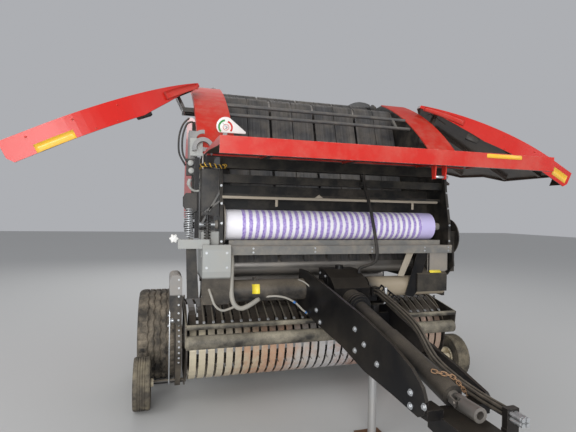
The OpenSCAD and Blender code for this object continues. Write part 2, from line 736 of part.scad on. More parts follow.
// Pickup frame: side plates, top and bottom beams, arms to the pivot, gauge wheel axles
band_half = band_n * band_pitch / 2;
side_plate_in = band_half + 8;
side_plate_t = 8;
side_plate_out = side_plate_in + side_plate_t;
beam_top_yz = [330, 370, 735, band_r + reel_z];
beam_low_yz = [reel_y + tine_tip_r * 0.7, reel_y + tine_tip_r * 0.7 + 55, reel_z - band_r, reel_z - band_r + 55];
pivot_r = 24;
arm_in = wall_out + 10;
arm_t = 12;
gauge_axle_r = 15;
module pickup_frame() {
    color(black) {
        block(-side_plate_in, side_plate_in, beam_top_yz[0], beam_top_yz[1], beam_top_yz[2], beam_top_yz[3] - band_t - seat_gap);
        block(-side_plate_in, side_plate_in, beam_low_yz[0], beam_low_yz[1], beam_low_yz[2] + band_t + seat_gap, beam_low_yz[3]);
        mirror_pair() {
            yz_plate(side_plate_in - 1, side_plate_t + 1) difference() {
                union() {
                    translate([reel_y, reel_z]) circle(r = band_r + 15, $fn = 64);
                    translate(guard_pivot) circle(r = 30, $fn = 48);
                    polygon([[reel_y, reel_z - band_r - 15], [beam_low_yz[1], beam_low_yz[2] - 15],
                        [beam_low_yz[1], reel_z], [beam_top_yz[1], reel_z + 80],
                        [beam_top_yz[1], beam_top_yz[3] + 15], [reel_y, reel_z + band_r + 15]]);
                    polygon([[gauge_y - 40, reel_z], [gauge_y - 25, gauge_r - 30], [gauge_y + 25, gauge_r - 30], [gauge_y + 60, reel_z]]);
                }
                translate([reel_y, reel_z]) circle(r = reel_shaft_r + running_gap, $fn = 48);
            }
            yz_plate(arm_in, arm_t) difference() {
                union() {
                    polygon([[beam_low_yz[0] + 5, beam_low_yz[3] - 5], [beam_low_yz[1], beam_low_yz[3] - 5],
                        [rotor_y + 30, rotor_z - 45], [rotor_y, rotor_z + 52], [beam_top_yz[1], beam_top_yz[2] + 5],
                        [beam_top_yz[0] + 5, beam_top_yz[2] + 5]]);
                    translate([rotor_y, rotor_z]) circle(r = 55, $fn = 48);
                }
                translate([rotor_y, rotor_z]) circle(r = pivot_r + running_gap, $fn = 48);
            }
            x_rod(side_plate_out - 1, gauge_x + 25, gauge_y, gauge_r, gauge_axle_r);
            x_rod(side_plate_out - 1, guard_x + 12, guard_pivot[0], guard_pivot[1], 12);
            x_rod(side_plate_out - 1, end_cover_in + 2, reel_y, reel_z, 55);
            yz_plate(end_cover_in, end_cover_t) difference() {
                end_cover_outline();
                translate([gauge_y, gauge_r]) circle(r = gauge_axle_r - 1, $fn = 32);
            }
        }
        mirror([1, 0, 0]) end_shield();
    }
}

// Stripper bands: round the front of the reel, then straight back to the beams
module band_outline() {
    polygon(concat(
        [[beam_top_yz[1], reel_z + band_r - band_t], [beam_top_yz[1], reel_z + band_r]],
        arc(reel_y, reel_z, band_r, 90, 270, 16),
        [[beam_low_yz[1], reel_z - band_r], [beam_low_yz[1], reel_z - band_r + band_t]],
        arc(reel_y, reel_z, band_r - band_t, 270, 90, 16)));
}
module stripper_bands() {
    color(steel)
        for (k = [0 : band_n - 1])
            yz_plate(-band_half + k * band_pitch + band_gap / 2, band_pitch - band_gap) band_outline();
}

// Tine reel: shaft, end spiders, tine bars and a tine in every gap
bar_r = 14;
bar_ring = 195;
reel_shaft_r = 30;
tine_rows = band_n - 1;
module tine_reel() {
    color(steel) {
        x_rod(-side_plate_in - 4, side_plate_in + 4, reel_y, reel_z, reel_shaft_r);
        for (x = [-band_half + 20, -6, band_half - 32])
            x_rod(x, x + 12, reel_y, reel_z, bar_ring + 24);
        translate([0, reel_y, reel_z])
            for (b = [0 : tine_bars - 1]) rotate([b * 360 / tine_bars + 20, 0, 0]) {
                x_rod(-band_half + 12, band_half - 12, bar_ring, 0, bar_r);
                for (k = [1 : tine_rows])
                    translate([-band_half + k * band_pitch, bar_ring, 0]) rotate([-90, 0, 0])
                        cylinder(h = tine_tip_r - bar_ring, r = tine_d / 2, $fn = 6);
            }
    }
}

// Windguard: front roller, upper bar with its long fingers, and the arms to its pivot
guard_pivot = [250, 800];
guard_roller = [-278, 592, 48];
guard_bar = [-302, 705, 18];
guard_x = side_plate_out + 6;
finger_n = 30;
finger_pitch = 66;
finger_end = [0, 852];
finger_r = 4;
finger_vec = finger_end - [guard_bar[0], guard_bar[1]];
module windguard() {
    color(black) {
        x_rod(-guard_x, guard_x, guard_roller[0], guard_roller[1], guard_roller[2]);
        x_rod(-guard_x, guard_x, guard_bar[0], guard_bar[1], guard_bar[2]);
        mirror_pair() yz_plate(guard_x - 1, 9) difference() {
            union() {
                polygon([[guard_roller[0] - 20, guard_roller[1] - 30], [guard_roller[0] + 35, guard_roller[1] - 25],
                    [guard_pivot[0] + 10, guard_pivot[1] - 22], [guard_pivot[0] - 5, guard_pivot[1] + 24],
                    [guard_bar[0] - 15, guard_bar[1] + 15]]);
                translate(guard_pivot) circle(r = 26, $fn = 48);
            }
            translate(guard_pivot) circle(r = 12 + running_gap, $fn = 48);
        }
        for (k = [0 : finger_n - 1])
            translate([(k - (finger_n - 1) / 2) * finger_pitch, guard_bar[0], guard_bar[1]])
                rotate([-atan2(finger_vec[0], finger_vec[1]), 0, 0]) cylinder(h = norm(finger_vec), r = finger_r, $fn = 6);
    }
}

// Gauge wheels
module gauge_tyre() {
    color(rubber) turned(gauge_x, gauge_y, gauge_r, 1) tyre_shape(gauge_r, gauge_w, 82);
}
module gauge_rim() {
    color(tan_paint) turned(gauge_x, gauge_y, gauge_r, 1)
        rim_shape(82, gauge_w, 4, 60, 30, gauge_axle_r + running_gap, 28);
}
module gauge_tyre_left() {
    mirror([1, 0, 0]) gauge_tyre();
}
module gauge_tyre_right() {
    gauge_tyre();
}
module gauge_rim_left() {
    mirror([1, 0, 0]) gauge_rim();
}
module gauge_rim_right() {
    gauge_rim();
}

// Intake rotor: drum with rows of flat points that pass between the tines
star_n = 18;
star_t = 10;
star_pitch = 66;
module intake_rotor() {
    color(black) {
        x_rod(-wall_in + 6, wall_in - 6, rotor_y, rotor_z, 95);
        x_rod(-wall_in + seat_gap, wall_in - seat_gap, rotor_y, rotor_z, 30);
        for (k = [0 : star_n - 1])
            translate([(k - (star_n - 1) / 2) * star_pitch - star_t / 2, rotor_y, rotor_z]) rotate([90, 0, 90])
                linear_extrude(star_t) for (a = [0, 90, 180, 270]) rotate(a + k * 12)
                    polygon([[60, -45], [150, -28], [rotor_r - 2, -6], [rotor_r - 2, 6], [150, 20], [60, 45]]);
    }
}

// Net roll on its core
net_left = -net_w / 2 - net_shift;
net_right = net_w / 2 - net_shift;
tube_hole_r = 45;
flange_t = 10;
module net_roll() {
    color([0.93, 0.92, 0.97]) x_tube(net_left, net_right, net_y, net_z, net_r, tube_hole_r);
}
module net_core() {
    color(grey) {
        x_rod(-core_half, core_half, net_y, net_z, core_r);
        x_rod(net_left - seat_gap, net_right + seat_gap, net_y, net_z, tube_hole_r - seat_gap);
        x_rod(net_left - seat_gap - flange_t, net_left - seat_gap, net_y, net_z, net_flange_r);
        x_rod(net_right + seat_gap, net_right + seat_gap + 14, net_y, net_z, 62);
    }
}

// Net cover: raised; a ribbed sheet with a folded lip and sides
cover_hinge = [-450, 1880];
cover_tube_r = 12;
cover_droop = 1.6;
cover_left = cover_shift - cover_w / 2;
cover_right = cover_shift + cover_w / 2;
rib_half = 20;
rib_deep = 16;
fold_deep = 30;
module net_cover() {
    color(red) translate([0, cover_hinge[0], cover_hinge[1]]) rotate([cover_droop, 0, 0]) {
        x_rod(cover_left + 20, cover_right - 20, 0, 0, cover_tube_r);
        block(cover_left, cover_right, -cover_l, -6, 4, 4 + sheet_t);
        block(cover_left, cover_right, -cover_l - sheet_t, -cover_l, 4 + sheet_t - cover_lip, 4 + sheet_t);
        block(cover_left, cover_right, -cover_l - 1, -cover_l + 24, 4 + sheet_t - cover_lip, 8 + sheet_t - cover_lip);
        for (x = [cover_left, cover_right - sheet_t])
            yz_plate(x, sheet_t) polygon([[-cover_l, 5], [-cover_l, -fold_deep], [-cover_l + 60, -fold_deep],
                [-300, -6], [-20, -6], [-20, 5]]);
        for (x = [-600, 0, 600]) {
            block(x - rib_half, x + rib_half, -cover_l, -20, -rib_deep, 5);
            block(x - rib_half - 20, x + rib_half + 20, -cover_l + 40, -40, 0, 5);
        }
    }
}

// Side doors: a skin with a deep band along its curved front edge, opened about a hinge along y
open_angle = 90 - door_droop;
skin_x = door_hinge_x + door_out;
door_front_y = -400;
door_bend_z = 1360;
door_curve_r = 1480;
door_curve_y = door_front_y + door_curve_r;
rim_deep = 40;
rim_rear_deep = 24;
function front_edge(inset) = arc(door_curve_y, door_bend_z, door_curve_r - inset, 180,
    180 - asin((door_top_z - inset - door_bend_z) / (door_curve_r - inset)), 24);
function left_rear(inset) = [[door_rear_left - 55, door_top_z - inset], [door_rear_left - inset, door_roof_z],
    [door_rear_left - inset, door_low + 90], [door_rear_left - 110 - inset * 0.5, door_low + inset]];
function right_rear(inset) = [[150, door_top_z - inset], [215, door_roof_z - inset], [760, door_roof_z - inset],
    [1160, 2240 - inset], [door_rear_right - inset, 1990], [door_rear_right - inset, 1160 + inset],
    [1235, 1150 + inset], [1190, 1330 + inset], [1120, 1430 + inset], [1010, 1385 + inset], [870, 1285 + inset],
    [540, 1250 + inset], [360, door_low + inset]];
function door_points(inset, rear) =
    concat([[door_front_y + inset, door_low + inset]], front_edge(inset), rear);
// How deep the front band may be at each height: distance in from the skin, height
module band_section() {
    translate([0, 1500, 0]) rotate([90, 0, 0]) linear_extrude(2000) polygon([[skin_x, door_low],
        [skin_x - 108, door_low], [skin_x - door_band + 1, door_low + 30], [skin_x - door_band, 1970], [skin_x - 106, 2160], [skin_x - 60, 2330],
        [skin_x - 26, door_top_z], [skin_x, door_top_z]]);
}
module door_closed(rear0, rear1, hinges, ribs) {
    color(red) {
        yz_plate(skin_x - sheet_t, sheet_t) polygon(door_points(0, rear0));
        yz_plate(skin_x - rim_rear_deep, rim_rear_deep) difference() {
            polygon(door_points(0, rear0));
            polygon(door_points(sheet_t, rear1));
        }
        intersection() {
            yz_plate(skin_x - door_band, door_band) polygon(concat([[door_front_y, door_low]], front_edge(0),
                reversed(front_edge(sheet_t)), [[door_front_y + sheet_t, door_low]]));
            band_section();
        }
        intersection() {
            yz_plate(skin_x - door_band, door_band) polygon([[door_front_y, door_low], [door_front_y + 170, door_low],
                [door_front_y + 170, door_low + sheet_t], [door_front_y, door_low + sheet_t]]);
            band_section();
        }
        for (r = ribs)
            block(skin_x - rim_deep, skin_x - 1, r[0] - 15, r[0] + 15, r[1], r[2]);
        for (y = hinges)
            difference() {
                union() {
                    along_y(y, 50, 18);
                    block(door_hinge_x, skin_x - 4, y - 25, y + 25, door_hinge_z - 12, door_hinge_z + 12);
                    block(skin_x - 12, skin_x - 4, y - 25, y + 25, door_hinge_z - 120, door_hinge_z + 60);
                }
                along_y(y, 60, hinge_pin_r + running_gap);
            }
    }
}
// A rod of the door hinge, centred at y
module along_y(y, l, r) {
    translate([door_hinge_x, y, door_hinge_z]) rotate([90, 0, 0]) cylinder(h = l, r = r, center = true, $fn = 48);
}
hinge_pin_r = 8;
hinges_left = [94, 160];
hinges_right = [140, 780];
module opened() {
    translate([door_hinge_x, 0, door_hinge_z]) rotate([0, -open_angle, 0]) translate([-door_hinge_x, 0, -door_hinge_z])
        children();
}
module door_right() {
    opened() door_closed(right_rear(0), right_rear(sheet_t), hinges_right,
        [[-120, 1180, 2150], [300, 1180, 2150], [780, 1350, 2150]]);
}
module door_left() {
    mirror([1, 0, 0]) opened() door_closed(left_rear(0), left_rear(sheet_t), hinges_left, [[-120, 1180, 2150]]);
}
// Door hinge brackets with their pins, on the chamber wall
module hinge_brackets(places) {
    for (y = places) {
        for (side = [-1, 1])
            block(wall_out + seat_gap, door_hinge_x + 14, y + side * 33 - 7, y + side * 33 + 7,
                door_hinge_z - 16, door_hinge_z + 16);
        along_y(y, 80, hinge_pin_r);
    }
}
module door_brackets() {
    color(black) {
        hinge_brackets(hinges_right);
        mirror([1, 0, 0]) hinge_brackets(hinges_left);
    }
}

// Bale size dial at the left shoulder, with a cast half ring, its box and the link that carries the box
dial_at = [-850, 2075];
dial_r = 62;
ring_at = [-1000, 1972];
ring_r = 68;
ring_hole_r = 44;
box_in = arch_out + 6;
box_x1 = box_in + 48;
module facing_front(y, t) {
    translate([0, y, 0]) rotate([90, 0, 0]) linear_extrude(t) children();
}
module bale_gauge() {
    color(grey) {
        facing_front(front_y - seat_gap, 16) translate(ring_at) difference() {
            circle(r = ring_r, $fn = 64);
            circle(r = ring_hole_r, $fn = 64);
            translate([10, -ring_r - 1]) square([ring_r, 2 * ring_r + 2]);
        }
        facing_front(front_y - seat_gap, 16) polygon([[-1028, 1900], [-940, 1900], [-940, 1925], [-1010, 1925]]);
        mirror([1, 0, 0]) {
            difference() {
                block(box_in, box_x1, -360, -250, 1855, 2045);
                block(box_in + 8, box_x1 - 8, -352, -249, 1863, 2037);
            }
            block(side_box_out + 8 + seat_gap, box_in + 1, -340, -300, 1856, 1872);
            block(side_box_out + 8 + seat_gap, side_box_out + 16, -338, -300, 1700, 1872);
        }
    }
    color(pale) {
        facing_front(front_y - seat_gap, 8) translate(dial_at) difference() {
            circle(r = dial_r, $fn = 64);
            translate([-100, -110]) square([200, 70]);
        }
        facing_front(front_y - seat_gap + 0.1, 8) polygon([[-900, 1899], [-880, 1899], [-835, 2040], [-865, 2040]]);
    }
}

// Chain drives on the left wall: outer chain to the chamber roller, inner chain to the roller behind it
tooth_h = 7;
module sprocket(y, z, r, teeth, x0, t) {
    mirror([1, 0, 0]) {
        x_rod(wall_out + seat_gap, x0 + t + 14, y, z, 20);
        x_rod(x0, x0 + t, y, z, r - tooth_h);
        yz_plate(x0 + 1, t - 2) translate([y, z]) polygon([for (i = [0 : 2 * teeth - 1])
            let (a = i * 180 / teeth, q = i % 2 == 0 ? r : r - tooth_h - 1) [q * cos(a), q * sin(a)]]);
    }
}
outer_chain = [[-60, 1105, 72], [430, 930, 92]];
inner_chain = [[430, 930, 62], [930, 540, 62]];
outer_chain_x = 905;
inner_chain_x = 880;
chain_t = 14;
chain_h = 11;
module chain_loop(table, x0) {
    mirror([1, 0, 0]) yz_plate(x0, chain_t) difference() {
        polygon(belt_loop(table, chain_h));
        polygon(belt_loop(table, -2));
    }
}
module left_drive_chains() {
    color(steel) {
        for (c = outer_chain)
            sprocket(c[0], c[1], c[2], 24, outer_chain_x, chain_t);
        for (c = inner_chain)
            sprocket(c[0], c[1], c[2], 20, inner_chain_x, chain_t);
        chain_loop(outer_chain, outer_chain_x);
        chain_loop(inner_chain, inner_chain_x);
    }
}

// Swept tube along a route: a smooth curve through hand-set points, with a ring at each step
function curve_point(p, i, t) =
    let (a = p[max(i - 1, 0)], b = p[i], c = p[i + 1], d = p[min(i + 2, len(p) - 1)])
    0.5 * (2 * b + (c - a) * t + (2 * a - 5 * b + 4 * c - d) * t * t + (3 * b - a - 3 * c + d) * t * t * t);
function smooth_route(p, steps) =
    concat([for (i = [0 : len(p) - 2]) for (k = [0 : steps - 1]) curve_point(p, i, k / steps)], [p[len(p) - 1]]);
function unit(v) = v / norm(v);
function heading(q, i) = unit(q[min(i + 1, len(q) - 1)] - q[max(i - 1, 0)]);
function tube_rings(q, r, sides, aside) =
    [for (i = [0 : len(q) - 1])
        let (h = heading(q, i), u = unit(cross(aside, h)), w = cross(h, u))
        for (k = [0 : sides - 1]) q[i] + r * (cos(k * 360 / sides) * u + sin(k * 360 / sides) * w)];
module swept_tube(route, r, sides, steps, aside) {
    q = smooth_route(route, steps);
    n = len(q);
    polyhedron(
        points = tube_rings(q, r, sides, aside),
        faces = concat(
            [[for (k = [0 : sides - 1]) k]],
            [[for (k = [sides - 1 : -1 : 0]) (n - 1) * sides + k]],
            [for (i = [0 : n - 2]) for (k = [0 : sides - 1])
                let (k1 = (k + 1) % sides)
                each [[i * sides + k, (i + 1) * sides + k, (i + 1) * sides + k1],
                    [i * sides + k, (i + 1) * sides + k1, i * sides + k1]]]));
}

// Four hoses along the tongue, from the rack at the back to the couplers parked at the front
hose_r = 8;
hose_sides = 8;
hose_back_y = -640;
hose_front_y = -1880;
function hose_route(dx, dz) = [[165 + dx, hose_back_y, 960 + dz], [165 + dx, -660, 960 + dz],
    [165 + dx, -690, 960 + dz], [160 + dx, -800, 940 + dz], [145 + dx, -1000, 905 + dz],
    [130 + dx, -1200, 850 + dz], [112 + dx, -1380, 745 + dz], [106 + dx, -1560, 705 + dz],
    [110 + dx, -1720, 687 + dz], [112 + dx, -1850, 684 + dz], [112 + dx, hose_front_y, 684 + dz]];
hose_spots = [[0, 0], [22, 0], [0, 22], [22, 22]];
module hose(k) {
    color(rubber) swept_tube(hose_route(hose_spots[k][0], hose_spots[k][1]), hose_r, hose_sides, 4, [1, 0, 0]);
}
module hose_1() {
    hose(0);
}
module hose_2() {
    hose(1);
}
module hose_3() {
    hose(2);
}
module hose_4() {
    hose(3);
}
// Blocks that hold the hoses: at the back, over the tongue, and at the front beside the drawbar
module hose_rack() {
    color(black) {
        block(150, 205, hose_back_y + seat_gap, hose_back_y + 40, 940, 1000);
        block(gear_half + seat_gap, 205, hose_back_y + 39, hose_back_y + 55, 900, 1000);
        block(gear_half + seat_gap, gear_half + 10, hose_back_y + 39, hose_back_y + 90, 900, 1000);
        difference() {
            union() {
                block(94, 152, hose_front_y - 30, hose_front_y - seat_gap, 640, 724);
                block(bar_half + seat_gap, 152, hose_front_y - 30, hose_front_y - seat_gap, 590, 641);
            }
            for (p = hose_spots)
                translate([112 + p[0], hose_front_y - 40, 684 + p[1]]) rotate([-90, 0, 0]) cylinder(h = 60, r = 6, $fn = 24);
        }
    }
}
module hose_couplers() {
    color(steel)
        for (p = hose_spots)
            translate([112 + p[0], hose_front_y - 30 - seat_gap, 684 + p[1]]) rotate([90, 0, 0]) {
                cylinder(h = 24, r = 10, $fn = 6);
                translate([0, 0, 23]) cylinder(h = 40, r = 9, $fn = 32);
                translate([0, 0, 40]) cylinder(h = 14, r = 10.5, $fn = 32);
            }
}
// Bent conduit that comes down in front of the net roll to the gearbox
conduit_r = 12;
conduit_route = [[175, -424, 1799], [175, -424, 1785], [175, -424, 1765], [177, -440, 1700], [188, -510, 1550], [200, -550, 1400],
    [215, -572, 1250], [205, -566, 1170], [160, -535, 1140], [120, -510, 1120], [112, -505, 1100], [112, -505, 1082]];
module front_conduit() {
    color(black) {
        swept_tube(conduit_route, conduit_r, 10, 4, [0, 1, 0]);
        block(155, 195, -430, -400 - seat_gap, 1715, 1745);
    }
}

// Tailgate walls with their hinge ears, and cross tubes
tail_low_a = -72;
cross_tubes = [[1850, 2250], [1980, 1150]];
ear_in = wall_out + 6;
ear_t = 16;
module tail_outline() {
    difference() {
        polygon(concat(
            [[split_y(hinge_z - 80), hinge_z - 80], [split_y(hinge_z + 40) + 20, hinge_z + 40]],
            arc(bale_y, tail_z, tail_r, 116, tail_low_a, 32),
            [[split_y(wall_low_z) + 120, wall_low_z + 20], [split_y(wall_low_z), wall_low_z + 20]]));
        translate([hinge_y, hinge_z]) circle(r = lug_r + 8, $fn = 48);
    }
}
module tailgate_walls() {
    color(black) {
        yz_pair(wall_in, wall_t) tail_outline();
        mirror_pair() {
            yz_plate(wall_out - 1, ear_in - wall_out + 2) translate([hinge_y + 130, hinge_z - 90]) square([220, 110]);
            yz_plate(ear_in, ear_t) difference() {
                union() {
                    translate([hinge_y, hinge_z]) circle(r = 48, $fn = 48);
                    polygon([[hinge_y, hinge_z - 48], [hinge_y + 350, hinge_z - 90], [hinge_y + 350, hinge_z + 20],
                        [hinge_y, hinge_z + 48]]);
                }
                translate([hinge_y, hinge_z]) circle(r = 25 + running_gap, $fn = 48);
            }
            block(wall_out - 1, lift_x - 22, lift_eye[0] - 25, lift_eye[0] + 25, lift_eye[1] - 25, lift_eye[1] + 25);
        }
        for (p = cross_tubes)
            x_rod(-wall_in - 1, wall_in + 1, p[0], p[1], 35);
    }
}
module tailgate_rollers() {
    color(steel)
        for (r = tail_roller_table)
            x_rod(-wall_in + seat_gap, wall_in - seat_gap, r[0], r[1], r[2]);
}
module tailgate_belts() {
    color(rubber) belt_set(tail_roller_table);
}

// Tailgate side covers
cover_front_y = 935;
cover_low_z = 1430;
cover_top_z = 2370;
cover_skin_x = 980;
cover_rim = 52;
module tail_cover_outline(inset) {
    polygon(concat(
        [[cover_front_y + inset, cover_low_z + inset], [cover_front_y + inset, cover_top_z - inset]],
        arc(bale_y, tail_z, tail_r - 60 - inset, 62, -12, 16),
        [[1900 - inset, cover_low_z + inset]]));
}
cover_posts = [[1250, 1750], [1850, 1750], [1500, 2200]];
module tail_cover() {
    color(red) {
        yz_plate(cover_skin_x - sheet_t, sheet_t) tail_cover_outline(0);
        yz_plate(cover_skin_x - cover_rim, cover_rim) difference() {
            tail_cover_outline(0);
            tail_cover_outline(sheet_t);
        }
        for (p = cover_posts)
            x_rod(wall_out + seat_gap, cover_skin_x - 2, p[0], p[1], 22);
        for (z = [1600, 1850])
            block(cover_skin_x - 14, cover_skin_x - 1, 1300, 1750, z, z + 30);
    }
}
module tailgate_cover_right() {
    tail_cover();
}
module tailgate_cover_left() {
    mirror([1, 0, 0]) tail_cover();
}

axle_beam();
tongue();
hitch_clevis();
jack_sleeve();
jack_leg();
side_wall_left();
side_wall_right();
front_panel_left();
front_panel_right();
belt_guard_bars();
front_crossmembers();
net_beam();
net_end_plates();
left_column();
left_lower_housing();
right_brackets();
drive_tube();
gearbox();
pto_guard();
pto_yoke();
front_rollers();
front_belts();
intake_floor();
door_brackets();
lift_barrels();
lift_rods();
bale_gauge();
left_drive_chains();
hose_rack();
hose_couplers();
hose_1();
hose_2();
hose_3();
hose_4();
front_conduit();
rim_left();
rim_right();
tyre_left();
tyre_right();
pickup_frame();
stripper_bands();
tine_reel();
windguard();
gauge_rim_left();
gauge_rim_right();
gauge_tyre_left();
gauge_tyre_right();
intake_rotor();
net_roll();
net_core();
net_cover();
door_left();
door_right();
tailgate_walls();
tailgate_rollers();
tailgate_belts();
tailgate_cover_left();
tailgate_cover_right();
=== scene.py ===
import math
import bpy
import numpy as np
from mathutils import Matrix


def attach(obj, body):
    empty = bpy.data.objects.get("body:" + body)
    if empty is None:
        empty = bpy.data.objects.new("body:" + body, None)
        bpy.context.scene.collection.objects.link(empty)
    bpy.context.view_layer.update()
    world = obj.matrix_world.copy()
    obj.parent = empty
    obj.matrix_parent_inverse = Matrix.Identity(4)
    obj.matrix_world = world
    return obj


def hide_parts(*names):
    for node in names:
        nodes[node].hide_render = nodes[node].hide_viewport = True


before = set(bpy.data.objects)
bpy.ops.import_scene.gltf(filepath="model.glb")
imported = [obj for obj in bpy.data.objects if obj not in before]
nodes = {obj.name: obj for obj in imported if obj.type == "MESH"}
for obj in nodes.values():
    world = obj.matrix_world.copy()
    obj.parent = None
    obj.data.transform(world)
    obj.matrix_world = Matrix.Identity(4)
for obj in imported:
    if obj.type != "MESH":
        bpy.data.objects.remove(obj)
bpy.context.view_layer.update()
print("frame loaded,", len(nodes), "nodes")

photoView = {"place": (-1.26, -3.315, 1.50), "yaw": 16.5, "pitch": -0.32, "roll": 0.96, "lens": 26.9}


def makeCamera(s):
    # ahead comes from the yaw to the right and the pitch; right and up are then turned about it by the roll
    yaw, pitch, roll = (math.radians(s[k]) for k in ("yaw", "pitch", "roll"))
    ahead = np.array([math.sin(yaw) * math.cos(pitch), math.cos(yaw) * math.cos(pitch), math.sin(pitch)])
    right = np.array([math.cos(yaw), -math.sin(yaw), 0.0])
    up = np.cross(right, ahead)
    rolledRight = math.cos(roll) * right + math.sin(roll) * up
    rolledUp = np.cross(rolledRight, ahead)
    lens = bpy.data.cameras.new("photoCamera")
    lens.lens = s["lens"]
    camera = bpy.data.objects.new("photoCamera", lens)
    bpy.context.collection.objects.link(camera)
    rows = np.eye(4)
    rows[:3, 0], rows[:3, 1], rows[:3, 2], rows[:3, 3] = rolledRight, rolledUp, -ahead, s["place"]
    camera.matrix_world = Matrix(rows.tolist())
    bpy.context.scene.camera = camera


makeCamera(photoView)


def makeMesh(name, points, faces, smooth=True):
    # points is n rows of x, y, z in metres; faces is rows of corner numbers
    mesh = bpy.data.meshes.new(name)
    mesh.from_pydata(np.asarray(points, float).tolist(), [], [list(map(int, f)) for f in faces])
    mesh.polygons.foreach_set("use_smooth", np.full(len(mesh.polygons), smooth))
    mesh.update()
    piece = bpy.data.objects.new(name, mesh)
    bpy.context.collection.objects.link(piece)
    return piece


def makePiece(name, shape, body, material, smooth=True):
    # a piece of the machine that moves with the body and has the finish given
    piece = makeMesh(name, *shape, smooth)
    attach(piece, body)
    piece.data.materials.append(finish[material])
    return piece


def onChassis(name, shape, material, smooth=True):
    # a piece that stays with the chassis
    return makePiece(name, shape, "chassis", material, smooth)


def zincPiece(name, shape, body, smooth=True):
    # bolts, nuts and other parts of bare zinc
    return makePiece(name, shape, body, "zincSteel", smooth)


def gridFaces(rows, columns, closeRows=False, closeColumns=False):
    # quads between neighbours of a rows x columns grid, wrapping round where it closes
    i = np.arange(rows if closeRows else rows - 1)
    j = np.arange(columns if closeColumns else columns - 1)
    i, j = np.meshgrid(i, j, indexing="ij")
    i2, j2 = (i + 1) % rows, (j + 1) % columns
    corners = [i * columns + j, i2 * columns + j, i2 * columns + j2, i * columns + j2]
    return np.stack(corners, -1).reshape(-1, 4)


def joined(shapes):
    # several (points, faces) pairs as one, with the corner numbers moved on
    points, faces, start = [], [], 0
    for p, f in shapes:
        points.append(np.asarray(p, float).reshape(-1, 3))
        faces += [np.asarray(q) + start for q in f]
        start += len(points[-1])
    return np.vstack(points), faces


def repeated(shape, places):
    # the same shape at each place
    points, faces = shape
    return joined([(points + np.asarray(p), faces) for p in places])


def frameOf(direction):
    # two unit vectors square to a direction
    d = np.asarray(direction, float) / np.linalg.norm(direction)
    side = np.cross(d, [0, 0, 1] if abs(d[2]) < 0.9 else [1, 0, 0])
    side /= np.linalg.norm(side)
    return d, side, np.cross(d, side)


def latheShape(profile, base, direction, sides=24):
    # each [radius, height] point goes round the axis through base: base + h d + r (cos a u + sin a v)
    profile = np.asarray(profile, float)
    d, u, v = frameOf(direction)
    a = np.linspace(0, 2 * np.pi, sides, endpoint=False)
    ring = np.cos(a)[:, None] * u + np.sin(a)[:, None] * v
    points = np.asarray(base) + profile[:, 1, None, None] * d + profile[:, 0, None, None] * ring[None]
    points = points.reshape(-1, 3)
    faces = list(gridFaces(len(profile), sides, closeColumns=True)[:, ::-1])
    faces += [np.arange(sides)[::-1], (len(profile) - 1) * sides + np.arange(sides)]
    return points, faces


def tubeShape(path, radius, sides=10, closed=False):
    # a ring square to the path's tangent at each of its points; the rings' sideways vector is carried along
    path = np.asarray(path, float)
    tangent = np.gradient(path, axis=0)
    if closed:
        tangent = np.roll(path, -1, 0) - np.roll(path, 1, 0)
    tangent /= np.linalg.norm(tangent, axis=1)[:, None]
    side = np.empty_like(path)
    side[0] = frameOf(tangent[0])[1]
    for k in range(1, len(path)):
        v = side[k - 1] - tangent[k] * (side[k - 1] @ tangent[k])
        side[k] = v / np.linalg.norm(v)
    third = np.cross(tangent, side)
    a = np.linspace(0, 2 * np.pi, sides, endpoint=False)
    r = np.broadcast_to(np.asarray(radius, float), (len(path),))
    ring = np.cos(a)[None, :, None] * side[:, None] + np.sin(a)[None, :, None] * third[:, None]
    points = path[:, None] + r[:, None, None] * ring
    faces = list(gridFaces(len(path), sides, closeRows=closed, closeColumns=True)[:, ::-1])
    if not closed:
        faces += [np.arange(sides)[::-1], (len(path) - 1) * sides + np.arange(sides)]
    return points.reshape(-1, 3), faces


def smoothPath(corners, count):
    # a Catmull-Rom curve through the corners, with count points in all
    c = np.asarray(corners, float)
    c = np.vstack([2 * c[0] - c[1], c, 2 * c[-1] - c[-2]])
    t = np.linspace(0, len(c) - 3 - 1e-9, count)
    k = t.astype(int)
    f = (t - k)[:, None]
    a, b, d, e = c[k], c[k + 1], c[k + 2], c[k + 3]
    return 0.5 * (2 * b + (d - a) * f + (2 * a - 5 * b + 4 * d - e) * f**2 + (3 * b - 3 * d + e - a) * f**3)


def boltShape(place, direction, size=0.012, height=0.008):
    # a round washer, then a six-sided head with a small chamfer
    washer = latheShape([[size * 1.35, 0], [size * 1.35, height * 0.25]], place, direction, 16)
    top = np.asarray(place) + frameOf(direction)[0] * height * 0.25
    head = latheShape([[size, 0], [size, height * 0.8], [size * 0.86, height]], top, direction, 6)
    return joined([washer, head])


def plateShape(outline, origin, across, up, thickness, bevel=0.001):
    # a flat plate: its outline drawn in by the bevel, full, full again and drawn in, along across x up
    outline = np.asarray(outline, float)
    across, up = (np.asarray(v, float) / np.linalg.norm(v) for v in (across, up))
    out = np.cross(across, up)
    away = outline - outline.mean(0)
    reach = np.maximum(np.linalg.norm(away, axis=1), 2 * bevel)[:, None]
    small = outline - away / reach * bevel
    rings = [(small, 0.0), (outline, bevel), (outline, thickness - bevel), (small, thickness)]
    points = np.vstack([np.asarray(origin) + q[:, :1] * across + q[:, 1:] * up + h * out for q, h in rings])
    n = len(outline)
    faces = list(gridFaces(4, n, closeColumns=True)[:, ::-1])
    faces += [np.arange(n)[::-1], 3 * n + np.arange(n)]
    return points, faces


